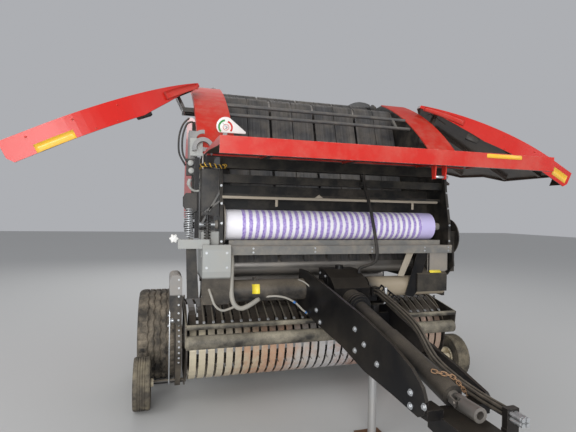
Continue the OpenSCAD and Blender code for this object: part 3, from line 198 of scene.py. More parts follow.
def roundedOutline(width, height, radius, steps=4):
    # a rectangle about its middle, a quarter circle at each corner, anticlockwise
    a = np.linspace(0, np.pi / 2, steps)
    x, z = width / 2 - radius, height / 2 - radius
    corners = [(x, z, 0), (-x, z, 1), (-x, -z, 2), (x, -z, 3)]
    turned = [(cx, cz, a + q * np.pi / 2) for cx, cz, q in corners]
    return np.vstack([np.stack([cx + radius * np.cos(t), cz + radius * np.sin(t)], 1)
        for cx, cz, t in turned])


def slabShape(front, depth):
    # a grid of points and the same grid moved by the depth, with walls round the border between them
    rows, columns = front.shape[:2]
    points = np.vstack([front.reshape(-1, 3), (front + np.asarray(depth)).reshape(-1, 3)])
    n = rows * columns
    index = np.arange(n).reshape(rows, columns)
    border = np.concatenate([index[0, :-1], index[:-1, -1], index[-1, :0:-1], index[:0:-1, 0]])
    walls = np.stack([border, np.roll(border, -1), np.roll(border, -1) + n, border + n], 1)
    faces = gridFaces(rows, columns)
    return points, list(faces) + list(faces[:, ::-1] + n) + list(walls[:, ::-1])


def outward(shape):
    # the faces turned over when the volume inside them comes out negative
    points, faces = shape
    total = 0.0
    for f in faces:
        q = points[np.asarray(f)]
        total += np.einsum("j,ij->", q[0], np.cross(q[1:-1], q[2:]))
    return (points, faces) if total > 0 else (points, [np.asarray(f)[::-1] for f in faces])


def frontPlate(outline, place, thickness, bevel=0.001):
    # a plate that faces forward, its outline given in x and z from the place
    return outward(plateShape(outline, place, (1, 0, 0), (0, 0, 1), thickness, bevel))


def helixPath(start, end, radius, turns, perTurn=16):
    # a circle about the line from start to end, moved evenly along it
    d, u, v = frameOf(np.subtract(end, start))
    t = np.linspace(0, 1, int(turns * perTurn) + 1)
    a = 2 * np.pi * turns * t
    ring = np.cos(a)[:, None] * u + np.sin(a)[:, None] * v
    return np.asarray(start) + t[:, None] * np.subtract(end, start) + radius * ring


def arcOutline(centre, radius, fromDegrees, toDegrees, steps):
    # points on a circle from one angle to the other: centre + radius (cos a, sin a)
    a = np.radians(np.linspace(fromDegrees, toDegrees, steps))
    return np.stack([centre[0] + radius * np.cos(a), centre[1] + radius * np.sin(a)], 1)


def ringSector(centre, y, inner, outer, fromDegrees, toDegrees, thick):
    # part of a flat ring that faces forward: an inner and an outer arc, with a small depth
    out, back = (arcOutline(centre, r, fromDegrees, toDegrees, 20) for r in (outer, inner))
    front = np.stack([np.insert(out, 1, y, axis=1), np.insert(back, 1, y, axis=1)])
    return outward(slabShape(front, (0, -thick, 0)))


def newGroup(name, inputs, outputs):
    # an empty node group with these inputs and outputs, and the nodes at its two ends
    group = bpy.data.node_groups.new(name, "ShaderNodeTree")
    for label, kind, value in inputs:
        socket = group.interface.new_socket(name=label, in_out="INPUT", socket_type="NodeSocket" + kind)
        socket.default_value = value
    for label, kind in outputs:
        group.interface.new_socket(name=label, in_out="OUTPUT", socket_type="NodeSocket" + kind)
    return group, group.nodes.new("NodeGroupInput"), group.nodes.new("NodeGroupOutput")


def plug(tree, socket, value):
    # a node, or a pair of node and output, is wired in; anything else is set, and a colour gets its alpha
    if isinstance(value, tuple) and len(value) == 2 and hasattr(value[0], "outputs"):
        tree.links.new(value[0].outputs[value[1]], socket)
    elif hasattr(value, "outputs"):
        tree.links.new(value.outputs[2 if value.bl_idname == "ShaderNodeMix" else 0], socket)
    else:
        socket.default_value = (*value, 1) if socket.type == "RGBA" and len(value) == 3 else value


def add(tree, kind, settings=None, **inputs):
    # a node of this kind, with each input plugged; i0 is the first input, others go by their names
    node = tree.nodes.new("ShaderNode" + kind)
    for key, value in (settings or {}).items():
        setattr(node, key, value)
    for key, value in inputs.items():
        numbered = key[0] == "i" and key[1:].isdigit()
        plug(tree, node.inputs[int(key[1:]) if numbered else key.replace("_", " ")], value)
    return node


def math2(tree, operation, a, b=0.0, clamp=False):
    # one arithmetic step on one or two values
    return add(tree, "Math", {"operation": operation, "use_clamp": clamp}, i0=a, i1=b)


def coordinate(tree, output="Object"):
    # where a point lies on its piece, or with "Normal" which way it faces, as a pair for plug
    return tree.nodes.new("ShaderNodeTexCoord"), output


def dot(tree, a, b):
    # the dot product of two vectors, as a pair for plug
    return add(tree, "VectorMath", {"operation": "DOT_PRODUCT"}, i0=a, i1=b), "Value"


def ramp(tree, value, low, high, toLow=0.0, toHigh=1.0):
    # the value moved from low..high to toLow..toHigh and held there
    return add(tree, "MapRange", i0=value, i1=low, i2=high, i3=toLow, i4=toHigh)


def mixColour(tree, factor, a, b):
    # colour a where the factor is 0 and colour b where it is 1
    return add(tree, "Mix", {"data_type": "RGBA"}, i0=factor, i6=a, i7=b)


def makeDustGroup():
    # dust lies where a soft noise is high, and more of it where the surface faces up
    group, put, out = newGroup("fieldDust",
        [("Paint", "Color", (0.5, 0.5, 0.5, 1)), ("Dust", "Color", (0.4, 0.33, 0.24, 1)),
        ("Amount", "Float", 0.3), ("Top", "Float", 0.4), ("Scale", "Float", 6.0)],
        [("Color", "Color"), ("Mask", "Float")])
    wide = add(group, "TexNoise", Vector=coordinate(group), Scale=(put, "Scale"), Detail=9.0,
        Roughness=0.65)
    fine = add(group, "TexNoise", Vector=coordinate(group), Scale=240.0, Detail=3.0, Roughness=0.7)
    facing = ramp(group, (add(group, "SeparateXYZ", i0=coordinate(group, "Normal")), 2), 0.1, 0.95)
    layer = math2(group, "MULTIPLY", ramp(group, wide, 0.42, 0.76), (put, "Amount"))
    lid = math2(group, "MULTIPLY", facing, (put, "Top"))
    both = math2(group, "ADD", layer, lid, True)
    mask = math2(group, "MULTIPLY", both, ramp(group, fine, 0.35, 0.7, 0.55, 1.0), True)
    plug(group, out.inputs["Color"], mixColour(group, mask, (put, "Paint"), (put, "Dust")))
    plug(group, out.inputs["Mask"], mask)
    return group


def makeWearGroup():
    # bare edges: where a rounded normal leaves the flat one, broken up by noise
    group, put, out = newGroup("edgeWear", [("Width", "Float", 0.004), ("Amount", "Float", 0.5)],
        [("Mask", "Float")])
    rounded = add(group, "Bevel", {"samples": 4}, Radius=(put, "Width"))
    edge = ramp(group, dot(group, rounded, (add(group, "NewGeometry"), "Normal")), 0.995, 0.90)
    noise = add(group, "TexNoise", Vector=coordinate(group), Scale=45.0, Detail=6.0, Roughness=0.7)
    patches = math2(group, "MULTIPLY", edge, ramp(group, noise, 0.48, 0.62))
    plug(group, out.inputs["Mask"], math2(group, "MULTIPLY", patches, (put, "Amount"), True))
    return group


def makeGrainGroup():
    # small unevenness of a surface: a fine noise over a wide one, as a height
    group, put, out = newGroup("surfaceGrain", [("Fine", "Float", 300.0), ("Wide", "Float", 12.0)],
        [("Height", "Float")])
    fine = add(group, "TexNoise", Vector=coordinate(group), Scale=(put, "Fine"), Detail=2.0)
    wide = add(group, "TexNoise", Vector=coordinate(group), Scale=(put, "Wide"), Detail=4.0)
    height = math2(group, "ADD", math2(group, "MULTIPLY", fine, 0.15), math2(group, "MULTIPLY", wide, 0.85))
    plug(group, out.inputs["Height"], height)
    return group


dustGroup, wearGroup, grainGroup = makeDustGroup(), makeWearGroup(), makeGrainGroup()


def useGroup(tree, group, **inputs):
    # a node that uses a shared group, with its inputs plugged by name
    node = tree.nodes.new("ShaderNodeGroup")
    node.node_tree = group
    for key, value in inputs.items():
        plug(tree, node.inputs[key], value)
    return node


def newMaterial(name):
    # a new material, its tree and its shader
    material = bpy.data.materials.new(name)
    material.use_nodes = True
    return material, material.node_tree, material.node_tree.nodes["Principled BSDF"]


def surface(tree, shader, colour, rough, height, strength, distance):
    # the shader's colour and roughness, and a height that tilts its normal
    plug(tree, shader.inputs["Base Color"], colour)
    plug(tree, shader.inputs["Roughness"], rough)
    bump = add(tree, "Bump", Strength=strength, Distance=distance, Height=height)
    plug(tree, shader.inputs["Normal"], bump)


def look(paint, rough, dustAmount, dustTop, wear=0.0, wearColour=None, **more):
    # one row of the table below; what only some finishes have is given by its name
    return {"paint": paint, "rough": rough, "dustAmount": dustAmount, "dustTop": dustTop, "wear": wear,
        "wearColour": wearColour, **more}


strawDust = (0.42, 0.35, 0.26)
rustBrown = (0.20, 0.09, 0.04)
finishes = {
    "redPaint": look((0.52, 0.016, 0.008), 0.34, 0.20, 0.06, 0.5, (0.25, 0.09, 0.06), coat=0.08),
    "redDusty": look((0.52, 0.020, 0.009), 0.48, 0.30, 0.02, 0.7, (0.28, 0.12, 0.08), specular=0.2,
        dustScale=14.0),
    # painted shade: the cover's faces that look down are near black
    "redStrip": look((0.50, 0.020, 0.013), 0.36, 0.30, 0.25, 0.8, (0.55, 0.33, 0.28), coat=0.08,
        inside=((0, 0, -1), (0.022, 0.021, 0.020), 0.25)),
    # painted shade: the door's inner faces, and what lies behind its front band, are dark
    "doorRed": look((0.54, 0.014, 0.009), 0.28, 0.08, 0.05, 0.4, (0.30, 0.09, 0.07), coat=0.10,
        dustScale=2.5, inside=((-0.454, 0, -0.891), (0.060, 0.048, 0.042), 0.35),
        shell=((0.454, 0, 0.891), -0.0595, -0.92, 1.48, 1.08)),
    "blackEnamel": look((0.006, 0.006, 0.007), 0.30, 0.06, 0.08, 0.35, (0.25, 0.22, 0.19), coat=0.05,
        specular=0.18),
    "blackDusty": look((0.009, 0.009, 0.009), 0.42, 0.20, 0.20, 0.4, (0.20, 0.13, 0.09), dustScale=7.0),
    "blackPlastic": look((0.010, 0.010, 0.011), 0.46, 0.18, 0.16),
    "driveTube": look((0.012, 0.012, 0.013), 0.30, 0.35, 0.35, 0.3, (0.22, 0.17, 0.13), coat=0.1,
        split=([(0, 0.22, 0.30)], (0.30, 0.25, 0.18))),
    "column": look((0.012, 0.012, 0.013), 0.34, 0.28, 0.35, 0.4, (0.25, 0.20, 0.15),
        split=([(0, -1.008, -1.010)], (0.36, 0.35, 0.33))),
    "pickupBlack": look((0.014, 0.013, 0.013), 0.42, 0.45, 0.45, 0.5, (0.24, 0.15, 0.10),
        split=([(2, 0.895, 0.905), (0, -1.095, -1.099)], (0.26, 0.25, 0.24))),
    "greyDusty": look((0.19, 0.18, 0.17), 0.5, 0.50, 0.45, 0.4, (0.22, 0.12, 0.07)),
    "beamGrey": look((0.15, 0.15, 0.145), 0.55, 0.65, 0.45, 0.5, (0.20, 0.12, 0.08), dustScale=8.0),
    "castGrey": look((0.24, 0.24, 0.24), 0.55, 0.25, 0.30, 0.2, (0.30, 0.28, 0.26), bump=0.25),
    "paleGrey": look((0.31, 0.32, 0.31), 0.42, 0.35, 0.25, 0.3, (0.20, 0.14, 0.10),
        split=([(2, 1.086, 1.072)], (0.030, 0.028, 0.026))),
    "dustyRoller": look((0.030, 0.028, 0.025), 0.5, 1.1, 0.5, 0.4, (0.26, 0.14, 0.08),
        split=([(1, -0.262, -0.250)], (0.012, 0.011, 0.010), 0.25), dust=(0.46, 0.41, 0.31), dustScale=4.0),
    "palePlate": look((0.31, 0.32, 0.31), 0.42, 0.35, 0.25, 0.3, (0.20, 0.14, 0.10)),
    "barSteel": look((0.085, 0.088, 0.090), 0.42, 0.35, 0.20, 0.4, (0.18, 0.14, 0.11), metal=0.3,
        dustScale=9.0),
    # painted shade: the cover's faces that look forward are near black
    "tailCover": look((0.60, 0.020, 0.010), 0.34, 0.20, 0.06, 0.5, (0.25, 0.09, 0.06), coat=0.08,
        inside=((0, -1, 0), (0.014, 0.013, 0.012), 0.25)),
    "beigeDusty": look((0.34, 0.30, 0.24), 0.6, 0.7, 0.4, 0.3, (0.12, 0.10, 0.08)),
    "creamRim": look((0.78, 0.69, 0.51), 0.40, 0.35, 0.1, 0.3, (0.22, 0.14, 0.09)),
    "bareSteel": look((0.34, 0.32, 0.30), 0.33, 0.35, 0.25, 0.3, (0.55, 0.53, 0.50), metal=0.85),
    "zincSteel": look((0.50, 0.52, 0.54), 0.36, 0.22, 0.2, 0.2, (0.6, 0.6, 0.6), metal=0.75),
    "jackSteel": look((0.42, 0.42, 0.42), 0.42, 0.30, 0.2, 0.3, rustBrown, metal=0.6,
        split=([(2, 0.030, 0.014)], rustBrown)),
    "chainRust": look((0.30, 0.17, 0.09), 0.6, 0.45, 0.2, metal=0.4, dustScale=40.0),
    "chainDark": look((0.040, 0.034, 0.030), 0.45, 0.30, 0.3, metal=0.6, dustScale=14.0),
    "hoseRubber": look((0.011, 0.011, 0.012), 0.42, 0.16, 0.30, dustScale=18.0, fine=700.0, bump=0.2),
    "paleHose": look((0.30, 0.29, 0.26), 0.5, 0.4, 0.2, dustScale=25.0),
    "bluePlastic": look((0.02, 0.14, 0.42), 0.4, 0.2, 0.2, dustScale=30.0),
    "yellowFilm": look((0.80, 0.46, 0.03), 0.32, 0.28, 0.2, coat=0.2, dustScale=16.0),
    "fingerSteel": look((0.050, 0.046, 0.040), 0.45, 0.35, 0.10, 0.4, (0.30, 0.24, 0.18), metal=0.3,
        dustScale=12.0),
    "labelYellow": look((0.82, 0.66, 0.04), 0.35, 0.20, 0.1, dustScale=22.0),
    "gaugeRubber": look((0.060, 0.052, 0.042), 0.8, 1.0, 0.15, 0.3, (0.26, 0.20, 0.14),
        dust=(0.34, 0.29, 0.20), dustScale=9.0, bump=0.35),
    "dialWhite": look((0.74, 0.74, 0.72), 0.35, 0.20, 0.2, dustScale=20.0),
    "dialGreen": look((0.02, 0.26, 0.05), 0.35, 0.10, 0.1, dustScale=20.0),
    "dialRed": look((0.55, 0.02, 0.015), 0.35, 0.10, 0.1, dustScale=20.0),
    "lampRed": look((0.45, 0.010, 0.008), 0.12, 0.12, 0.2, coat=0.6, dustScale=20.0),
    "lampAmber": look((0.75, 0.22, 0.01), 0.12, 0.12, 0.2, coat=0.6, dustScale=20.0),
    "tyreRubber": look((0.030, 0.027, 0.024), 0.8, 0.85, 0.15, 0.3, (0.26, 0.20, 0.14), dustScale=9.0,
        bump=0.35),
}


def makeFinish(name, s):
    # one row of the table: its paint and what lies beside it, then dust, worn edges and a fine relief
    material, tree, shader = newMaterial(name)
    shader.inputs["Specular IOR Level"].default_value = s.get("specular", 0.35)
    shader.inputs["Coat Weight"].default_value = s.get("coat", 0.0)
    shader.inputs["Coat Roughness"].default_value = 0.12
    shader.inputs["Metallic"].default_value = s.get("metal", 0.0)
    paint, amount = s["paint"], s["dustAmount"]
    side = s.get("side", 1)
    if "inside" in s:  # painted shade: faces that look this way get a dark colour in place of the paint, and another amount of dust
        (x, y, z), shadeColour, dustOnShadedFaces = s["inside"]
        inner = ramp(tree, dot(tree, coordinate(tree, "Normal"), (side * x, y, z)), 0.35, 0.6)
        paint = mixColour(tree, inner, paint, shadeColour)
        amount = ramp(tree, inner, 0, 1, amount, dustOnShadedFaces)
    if "shell" in s:  # painted shade: what lies behind the curved front band gets the same dark shade colour, except the outer skin
        (x, y, z), drop, low, radius, middle = s["shell"]
        height = dot(tree, coordinate(tree), (-side * z, 0, x))
        rise = math2(tree, "MAXIMUM", math2(tree, "ADD", height, drop - low), 0.0)
        chord = math2(tree, "SUBTRACT", radius**2, math2(tree, "MULTIPLY", rise, rise))
        front = math2(tree, "SUBTRACT", middle, math2(tree, "SQRT", chord))
        depth = math2(tree, "SUBTRACT", (add(tree, "SeparateXYZ", i0=coordinate(tree)), 1), front)
        notSkin = ramp(tree, dot(tree, coordinate(tree, "Normal"), (side * x, y, z)), 0.75, 0.45)
        shadedRecess = math2(tree, "MULTIPLY", ramp(tree, depth, 0.006, 0.012), notSkin)
        paint = mixColour(tree, shadedRecess, paint, shadeColour)
    if "split" in s:  # beyond these places the paint is another one, and there may be less dust
        limits, other = s["split"][:2]
        place = add(tree, "SeparateXYZ", i0=coordinate(tree))
        beyond = [ramp(tree, (place, axis), low, high) for axis, low, high in limits]
        share = beyond[0] if len(beyond) == 1 else math2(tree, "MULTIPLY", *beyond)
        if len(s["split"]) > 2:
            amount = ramp(tree, share, 0, 1, amount, s["split"][2])
        paint = mixColour(tree, share, paint, other)
    dust = useGroup(tree, dustGroup, Paint=paint, Dust=s.get("dust", strawDust), Amount=amount,
        Top=s["dustTop"], Scale=s.get("dustScale", 5.0))
    colour = (dust, "Color")
    if s["wear"] > 0:
        worn = useGroup(tree, wearGroup, Width=0.004, Amount=s["wear"])
        colour = mixColour(tree, (worn, "Mask"), colour, s["wearColour"])
    rough = ramp(tree, (dust, "Mask"), 0, 1, s["rough"], 0.85)
    grain = useGroup(tree, grainGroup, Fine=s.get("fine", 300.0), Wide=10.0)
    surface(tree, shader, colour, rough, (grain, "Height"), s.get("bump", 0.10), 0.004)
    return material


finish = {name: makeFinish(name, s) for name, s in finishes.items()}
finish["doorRedLeft"] = makeFinish("doorRedLeft", {**finishes["doorRed"], "side": -1})

# the darkest colour here is painted shade, which the bands take above the front heights
bands = {"ends": (-1.06, 1.06), "front": (0.600, 0.660), "bandShadeColour": (0.045, 0.036, 0.028),
    "dust": (0.47, 0.40, 0.32),
    "stops": [(0.0, (0.66, 0.58, 0.42)), (0.12, (0.62, 0.55, 0.42)), (0.22, (0.57, 0.44, 0.31)),
        (0.28, (0.56, 0.33, 0.21)), (0.36, (0.55, 0.40, 0.32)), (0.44, (0.56, 0.53, 0.50)),
        (0.54, (0.62, 0.61, 0.62)), (0.62, (0.56, 0.40, 0.34)), (0.75, (0.50, 0.29, 0.21)),
        (1.0, (0.42, 0.30, 0.23))]}


def makeBandFinish(s):
    # crop-polished bands: the colour runs along x, broken by noise; higher up they get painted shade, a
    # dark colour with less dust
    material, tree, shader = newMaterial("bandSteel")
    split = add(tree, "SeparateXYZ", i0=coordinate(tree))
    noise = add(tree, "TexNoise", Vector=coordinate(tree), Scale=7.0, Detail=8.0, Roughness=0.7)
    shifted = math2(tree, "ADD", (split, 0), ramp(tree, noise, 0.3, 0.7, -0.22, 0.22))
    colours = add(tree, "ValToRGB", i0=ramp(tree, shifted, *s["ends"]))
    while len(colours.color_ramp.elements) < len(s["stops"]):
        colours.color_ramp.elements.new(0.5)
    for element, (place, c) in zip(colours.color_ramp.elements, s["stops"]):
        element.position, element.color = place, (*c, 1)
    ragged = math2(tree, "ADD", (split, 2), ramp(tree, noise, 0.3, 0.7, -0.02, 0.02))
    # painted shade: above the front heights the bands take the dark shade colour, with less dust
    bandShadeMask = ramp(tree, ragged, *s["front"])
    worn = mixColour(tree, bandShadeMask, colours, s["bandShadeColour"])
    amount = ramp(tree, bandShadeMask, 0, 1, 0.35, 0.12)
    dust = useGroup(tree, dustGroup, Paint=worn, Dust=s["dust"], Amount=amount, Top=0.10, Scale=9.0)
    shader.inputs["Metallic"].default_value = 0.30
    grain = useGroup(tree, grainGroup, Fine=220.0, Wide=30.0)
    surface(tree, shader, dust, ramp(tree, (dust, "Mask"), 0, 1, 0.32, 0.8), (grain, "Height"), 0.15, 0.003)
    return material


net = {"firstBand": -0.717, "pitch": 0.0469, "plainUpTo": -0.741, "tailFrom": 0.655,
    "white": ((0.82, 0.80, 0.86), (0.93, 0.92, 0.96)), "violet": ((0.26, 0.17, 0.52), (0.50, 0.41, 0.74)),
    "tail": (0.56, 0.50, 0.80)}


def makeNetFinish(s):
    # white film; violet bands at even steps along x after a plain start, and a lavender stretch at the end
    material, tree, shader = newMaterial("netFilm")
    split = add(tree, "SeparateXYZ", i0=coordinate(tree))
    rough = add(tree, "TexNoise", Vector=coordinate(tree), Scale=90.0, Detail=4.0)
    waver = add(tree, "TexNoise", Vector=coordinate(tree), Scale=9.0, Detail=2.0)
    moved = math2(tree, "ADD", (split, 0), ramp(tree, waver, 0.3, 0.7, -0.003, 0.003))
    offset = math2(tree, "ADD", moved, s["pitch"] / 2 - s["firstBand"])
    phase = math2(tree, "FRACT", math2(tree, "DIVIDE", offset, s["pitch"]))
    near = math2(tree, "ABSOLUTE", math2(tree, "SUBTRACT", phase, 0.5))
    band = ramp(tree, math2(tree, "ADD", near, math2(tree, "MULTIPLY", rough, 0.14)), 0.39, 0.27)
    started = ramp(tree, (split, 0), s["plainUpTo"] - 0.002, s["plainUpTo"])
    last = ramp(tree, (split, 0), s["tailFrom"], s["tailFrom"] + 0.006)
    threads = add(tree, "TexWave", {"wave_type": "BANDS", "bands_direction": "X"}, Vector=coordinate(tree),
        Scale=60.0, Distortion=1.5)
    white = mixColour(tree, ramp(tree, threads, 0.2, 0.9), *s["white"])
    violet = mixColour(tree, ramp(tree, rough, 0.35, 0.65), *s["violet"])
    first = mixColour(tree, math2(tree, "MULTIPLY", band, started), white, violet)
    shader.inputs["Sheen Weight"].default_value = 0.15
    surface(tree, shader, mixColour(tree, last, first, s["tail"]), 0.42, threads, 0.12, 0.003)
    return material


belt = {"rubber": (0.014, 0.015, 0.017), "rubbed": (0.060, 0.060, 0.064), "weave": 130.0}


def makeBeltFinish(s):
    # rubber with a fine woven pattern, lengthwise streaks rubbed by the crop and dust between them
    material, tree, shader = newMaterial("beltRubber")
    stretched = add(tree, "Mapping", i0=coordinate(tree), i3=(60.0, 1.4, 1.4))
    streak = add(tree, "TexNoise", Vector=stretched, Scale=1.0, Detail=5.0, Roughness=0.6)
    worn = mixColour(tree, ramp(tree, streak, 0.35, 0.7), s["rubber"], s["rubbed"])
    dust = useGroup(tree, dustGroup, Paint=worn, Dust=strawDust, Amount=0.26, Top=0.12, Scale=7.0)
    weave = add(tree, "TexVoronoi", {"distance": "MANHATTAN"}, Vector=coordinate(tree), Scale=s["weave"])
    surface(tree, shader, dust, ramp(tree, streak, 0.3, 0.7, 0.62, 0.40), weave, 0.25, 0.002)
    return material


finish.update(bandSteel=makeBandFinish(bands), netFilm=makeNetFinish(net), beltRubber=makeBeltFinish(belt))

nodeFinish = {
    "redDusty": ["front_panel_left", "front_panel_right"],
    "tailCover": ["tailgate_cover_left", "tailgate_cover_right"],
    "barSteel": ["belt_guard_bars"],
    "redStrip": ["net_cover"],
    "doorRed": ["door_right"],
    "doorRedLeft": ["door_left"],
    "blackEnamel": ["tongue", "hitch_clevis", "gearbox", "hose_rack", "jack_sleeve"],
    "blackPlastic": ["pto_guard", "front_conduit"],
    "dustyRoller": ["windguard"],
    "driveTube": ["drive_tube"],
    "column": ["left_column"],
    "pickupBlack": ["pickup_frame"],
    "greyDusty": ["intake_floor", "net_core"],
    "beamGrey": ["net_beam"],
    "castGrey": ["bale_gauge"],
    "paleGrey": ["left_lower_housing"],
    "creamRim": ["rim_left", "rim_right", "gauge_rim_left", "gauge_rim_right"],
    "bareSteel": ["front_rollers", "tailgate_rollers", "pto_yoke", "lift_rods"],
    "jackSteel": ["jack_leg"],
    "zincSteel": ["hose_couplers"],
    "chainDark": ["left_drive_chains"],
    "hoseRubber": ["hose_1", "hose_2", "hose_3", "hose_4"],
    "beltRubber": ["front_belts", "tailgate_belts"],
    "tyreRubber": ["tyre_left", "tyre_right"],
    "gaugeRubber": ["gauge_tyre_left", "gauge_tyre_right"],
    "bandSteel": ["stripper_bands"],
    "netFilm": ["net_roll"],
}
chosen = {node: finish[name] for name, group in nodeFinish.items() for node in group}
for nodeName, nodeObject in nodes.items():
    nodeObject.data.materials.clear()
    nodeObject.data.materials.append(chosen.get(nodeName, finish["blackDusty"]))
print("finishes set")

bothSides = ((-1, "Left"), (1, "Right"))
door = {"open": math.radians(63), "hingeX": 1.095, "hingeZ": 2.28, "arcY": 1.08, "arcZ": 1.36,
    "arcRadius": 1.48}


def onDoor(side, x, y, z):
    # a point given on the closed door, from its hinge, turned up by the angle at which the door stands open
    c, t = math.cos(door["open"]), math.sin(door["open"])
    x, y, z = np.broadcast_arrays(*(np.asarray(v, float) for v in (x, y, z)))
    return np.stack([side * (door["hingeX"] + c * x - t * z), y, door["hingeZ"] + t * x + c * z], -1)


def doorFront(z):
    # the front edge of a door: straight low down, then an arc; z is measured from the hinge
    rise = np.clip(z + door["hingeZ"] - door["arcZ"], 0, None)
    return door["arcY"] - np.sqrt(door["arcRadius"]**2 - rise**2)


def doorStrip(side, xLow, xHigh, zLow, zHigh, stand, thick, steps=12):
    # a thin strip on a door's front band: it follows the band's arc and stands off it
    t = np.linspace(0, 1, steps)[:, None]
    u = np.array([0.0, 1.0])[None, :]
    x = (1 - t) * (xLow[0] + u * (xHigh[0] - xLow[0])) + t * (xLow[1] + u * (xHigh[1] - xLow[1]))
    z = zLow + t * (zHigh - zLow) + 0 * u
    return outward(slabShape(onDoor(side, x, doorFront(z) - stand, z), (0, -thick, 0)))


doorParts = {"reflectorLeft": (0.006, 0.060, -0.985, -0.745),
    "reflectorRight": (0.036, 0.108, -1.120, -0.955),
    "proud": 0.0012, "latchLeft": (0.0195, -0.30, 0.010), "latchRight": (-0.004, -0.225, 0.036),
    "screws": ((0.118, -1.0), (0.118, -0.72), (0.118, -0.44), (0.02, -0.62), (0.02, -0.48))}
for side, name in bothSides:
    body = "door_" + name.lower()
    x0, x1, z0, z1 = doorParts["reflector" + name]
    strip = doorStrip(side, (x0, x0), (x1, x1), z0, z1, 0.0002, doorParts["proud"])
    makePiece("doorReflector" + name, strip, body, "yellowFilm")
    cap = doorStrip(side, (0.065, 0.106), (0.120, 0.146), -0.115, 0.165, 0.004, 0.012, 16)
    makePiece("doorTopStrip" + name, cap, body, "redPaint")
    # the latch lies inside the front band, along its arc: inward is its distance from the band's outer face
    x, z, inward = doorParts["latch" + name]
    lean = math.atan2(float(doorFront(z + 0.05) - doorFront(z - 0.05)), 0.1)
    corner = onDoor(side, x, float(doorFront(z)) + inward * math.cos(lean), z - inward * math.sin(lean))
    turnedX, turnedZ = side * math.cos(door["open"]), math.sin(door["open"])
    along = (side * turnedZ * math.cos(lean), -math.sin(lean), -math.cos(door["open"]) * math.cos(lean))
    latch = plateShape(roundedOutline(0.11, 0.055, 0.010), corner, along, (turnedX, 0, turnedZ), 0.026,
        0.004)
    makePiece("doorLatch" + name, outward(latch), body, "blackPlastic")
    screws = [boltShape(onDoor(side, x, float(doorFront(z)) - 0.0005, z), (0, -1, 0), 0.005, 0.003)
        for x, z in doorParts["screws"]]
    makePiece("doorScrews" + name, joined(screws), body, "redPaint")
print("door trim made")


def tyreShape(s, side):
    # round the axle by the angle, across by the outline; grooves and shoulder notches draw the radius in
    r, w, rim = s["radius"], s["width"], s["rim"]
    edge = 0.12 * w
    half = [(rim, w / 2 - 0.022), (rim + 0.018, w / 2 - 0.008), (rim + (r - rim) * 0.25, w / 2 - 0.003),
        (rim + (r - rim) * 0.5, w / 2), (rim + (r - rim) * 0.7, w / 2 - 0.001), (r - edge, w / 2 - 0.006),
        (r - edge * 0.62, w / 2 - edge * 0.16), (r - edge * 0.3, w / 2 - edge * 0.4),
        (r - edge * 0.08, w / 2 - edge * 0.8)]
    flat = np.linspace(w / 2 - edge * 1.2, -w / 2 + edge * 1.2, s["across"])
    a = np.concatenate([[h[1] for h in half], flat, [-h[1] for h in half[::-1]]])
    rho = np.concatenate([[h[0] for h in half], np.full(len(flat), r), [h[0] for h in half[::-1]]])
    theta = np.linspace(0, 2 * np.pi, s["around"], endpoint=False)[:, None]
    sway = s["sway"] * np.sin(theta * s["notches"] / 2)
    groove = np.zeros((s["around"], len(a)))
    for place in s["grooves"]:
        groove = np.maximum(groove, np.clip(1.6 - np.abs(a - place * w - sway) / s["grooveHalf"], 0, 1))
    wave = np.clip(4 * np.cos(theta * s["notches"]) - 2.2, 0, 1)
    notch = wave * np.clip((np.abs(a) - 0.27 * w) / (0.02 * w), 0, 1)
    tread = np.clip((rho - (r - edge * 0.7)) / (edge * 0.3), 0, 1)
    ripple = 0.0012 * np.sin(rho * 700) * (rho < r - edge)
    radius = rho - s["depth"] * tread * np.maximum(groove, notch) + 0 * theta
    x, y, z = s["centre"]
    points = np.stack([side * (x + a + ripple * np.sign(a) + 0 * theta), y + radius * np.cos(theta),
        z + radius * np.sin(theta)], -1)
    return outward((points.reshape(-1, 3), list(gridFaces(s["around"], len(a), True, True))))


tyres = {
    "tyre": {"body": "wheel_", "rubber": "tyreRubber", "centre": (1.265, 0.77, 0.395), "radius": 0.3946,
        "width": 0.336, "rim": 0.206, "grooves": (-0.22, -0.075, 0.075, 0.22), "grooveHalf": 0.006,
        "depth": 0.013, "sway": 0.006, "notches": 48, "around": 288, "across": 56},
    "gauge_tyre": {"body": "gauge_wheel_", "rubber": "gaugeRubber", "centre": (1.375, 0.115, 0.195),
        "radius": 0.1946, "width": 0.128, "rim": 0.083, "grooves": (-0.2, -0.07, 0.07, 0.2),
        "grooveHalf": 0.003,
        "depth": 0.006, "sway": 0.0, "notches": 30, "around": 150, "across": 40},
}
for kind, s in tyres.items():
    for side, name in ((-1, "left"), (1, "right")):
        node = kind + "_" + name
        tyre = makePiece("tread_" + node, tyreShape(s, side), s["body"] + name, s["rubber"])
        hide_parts(node)
print("tyres made")

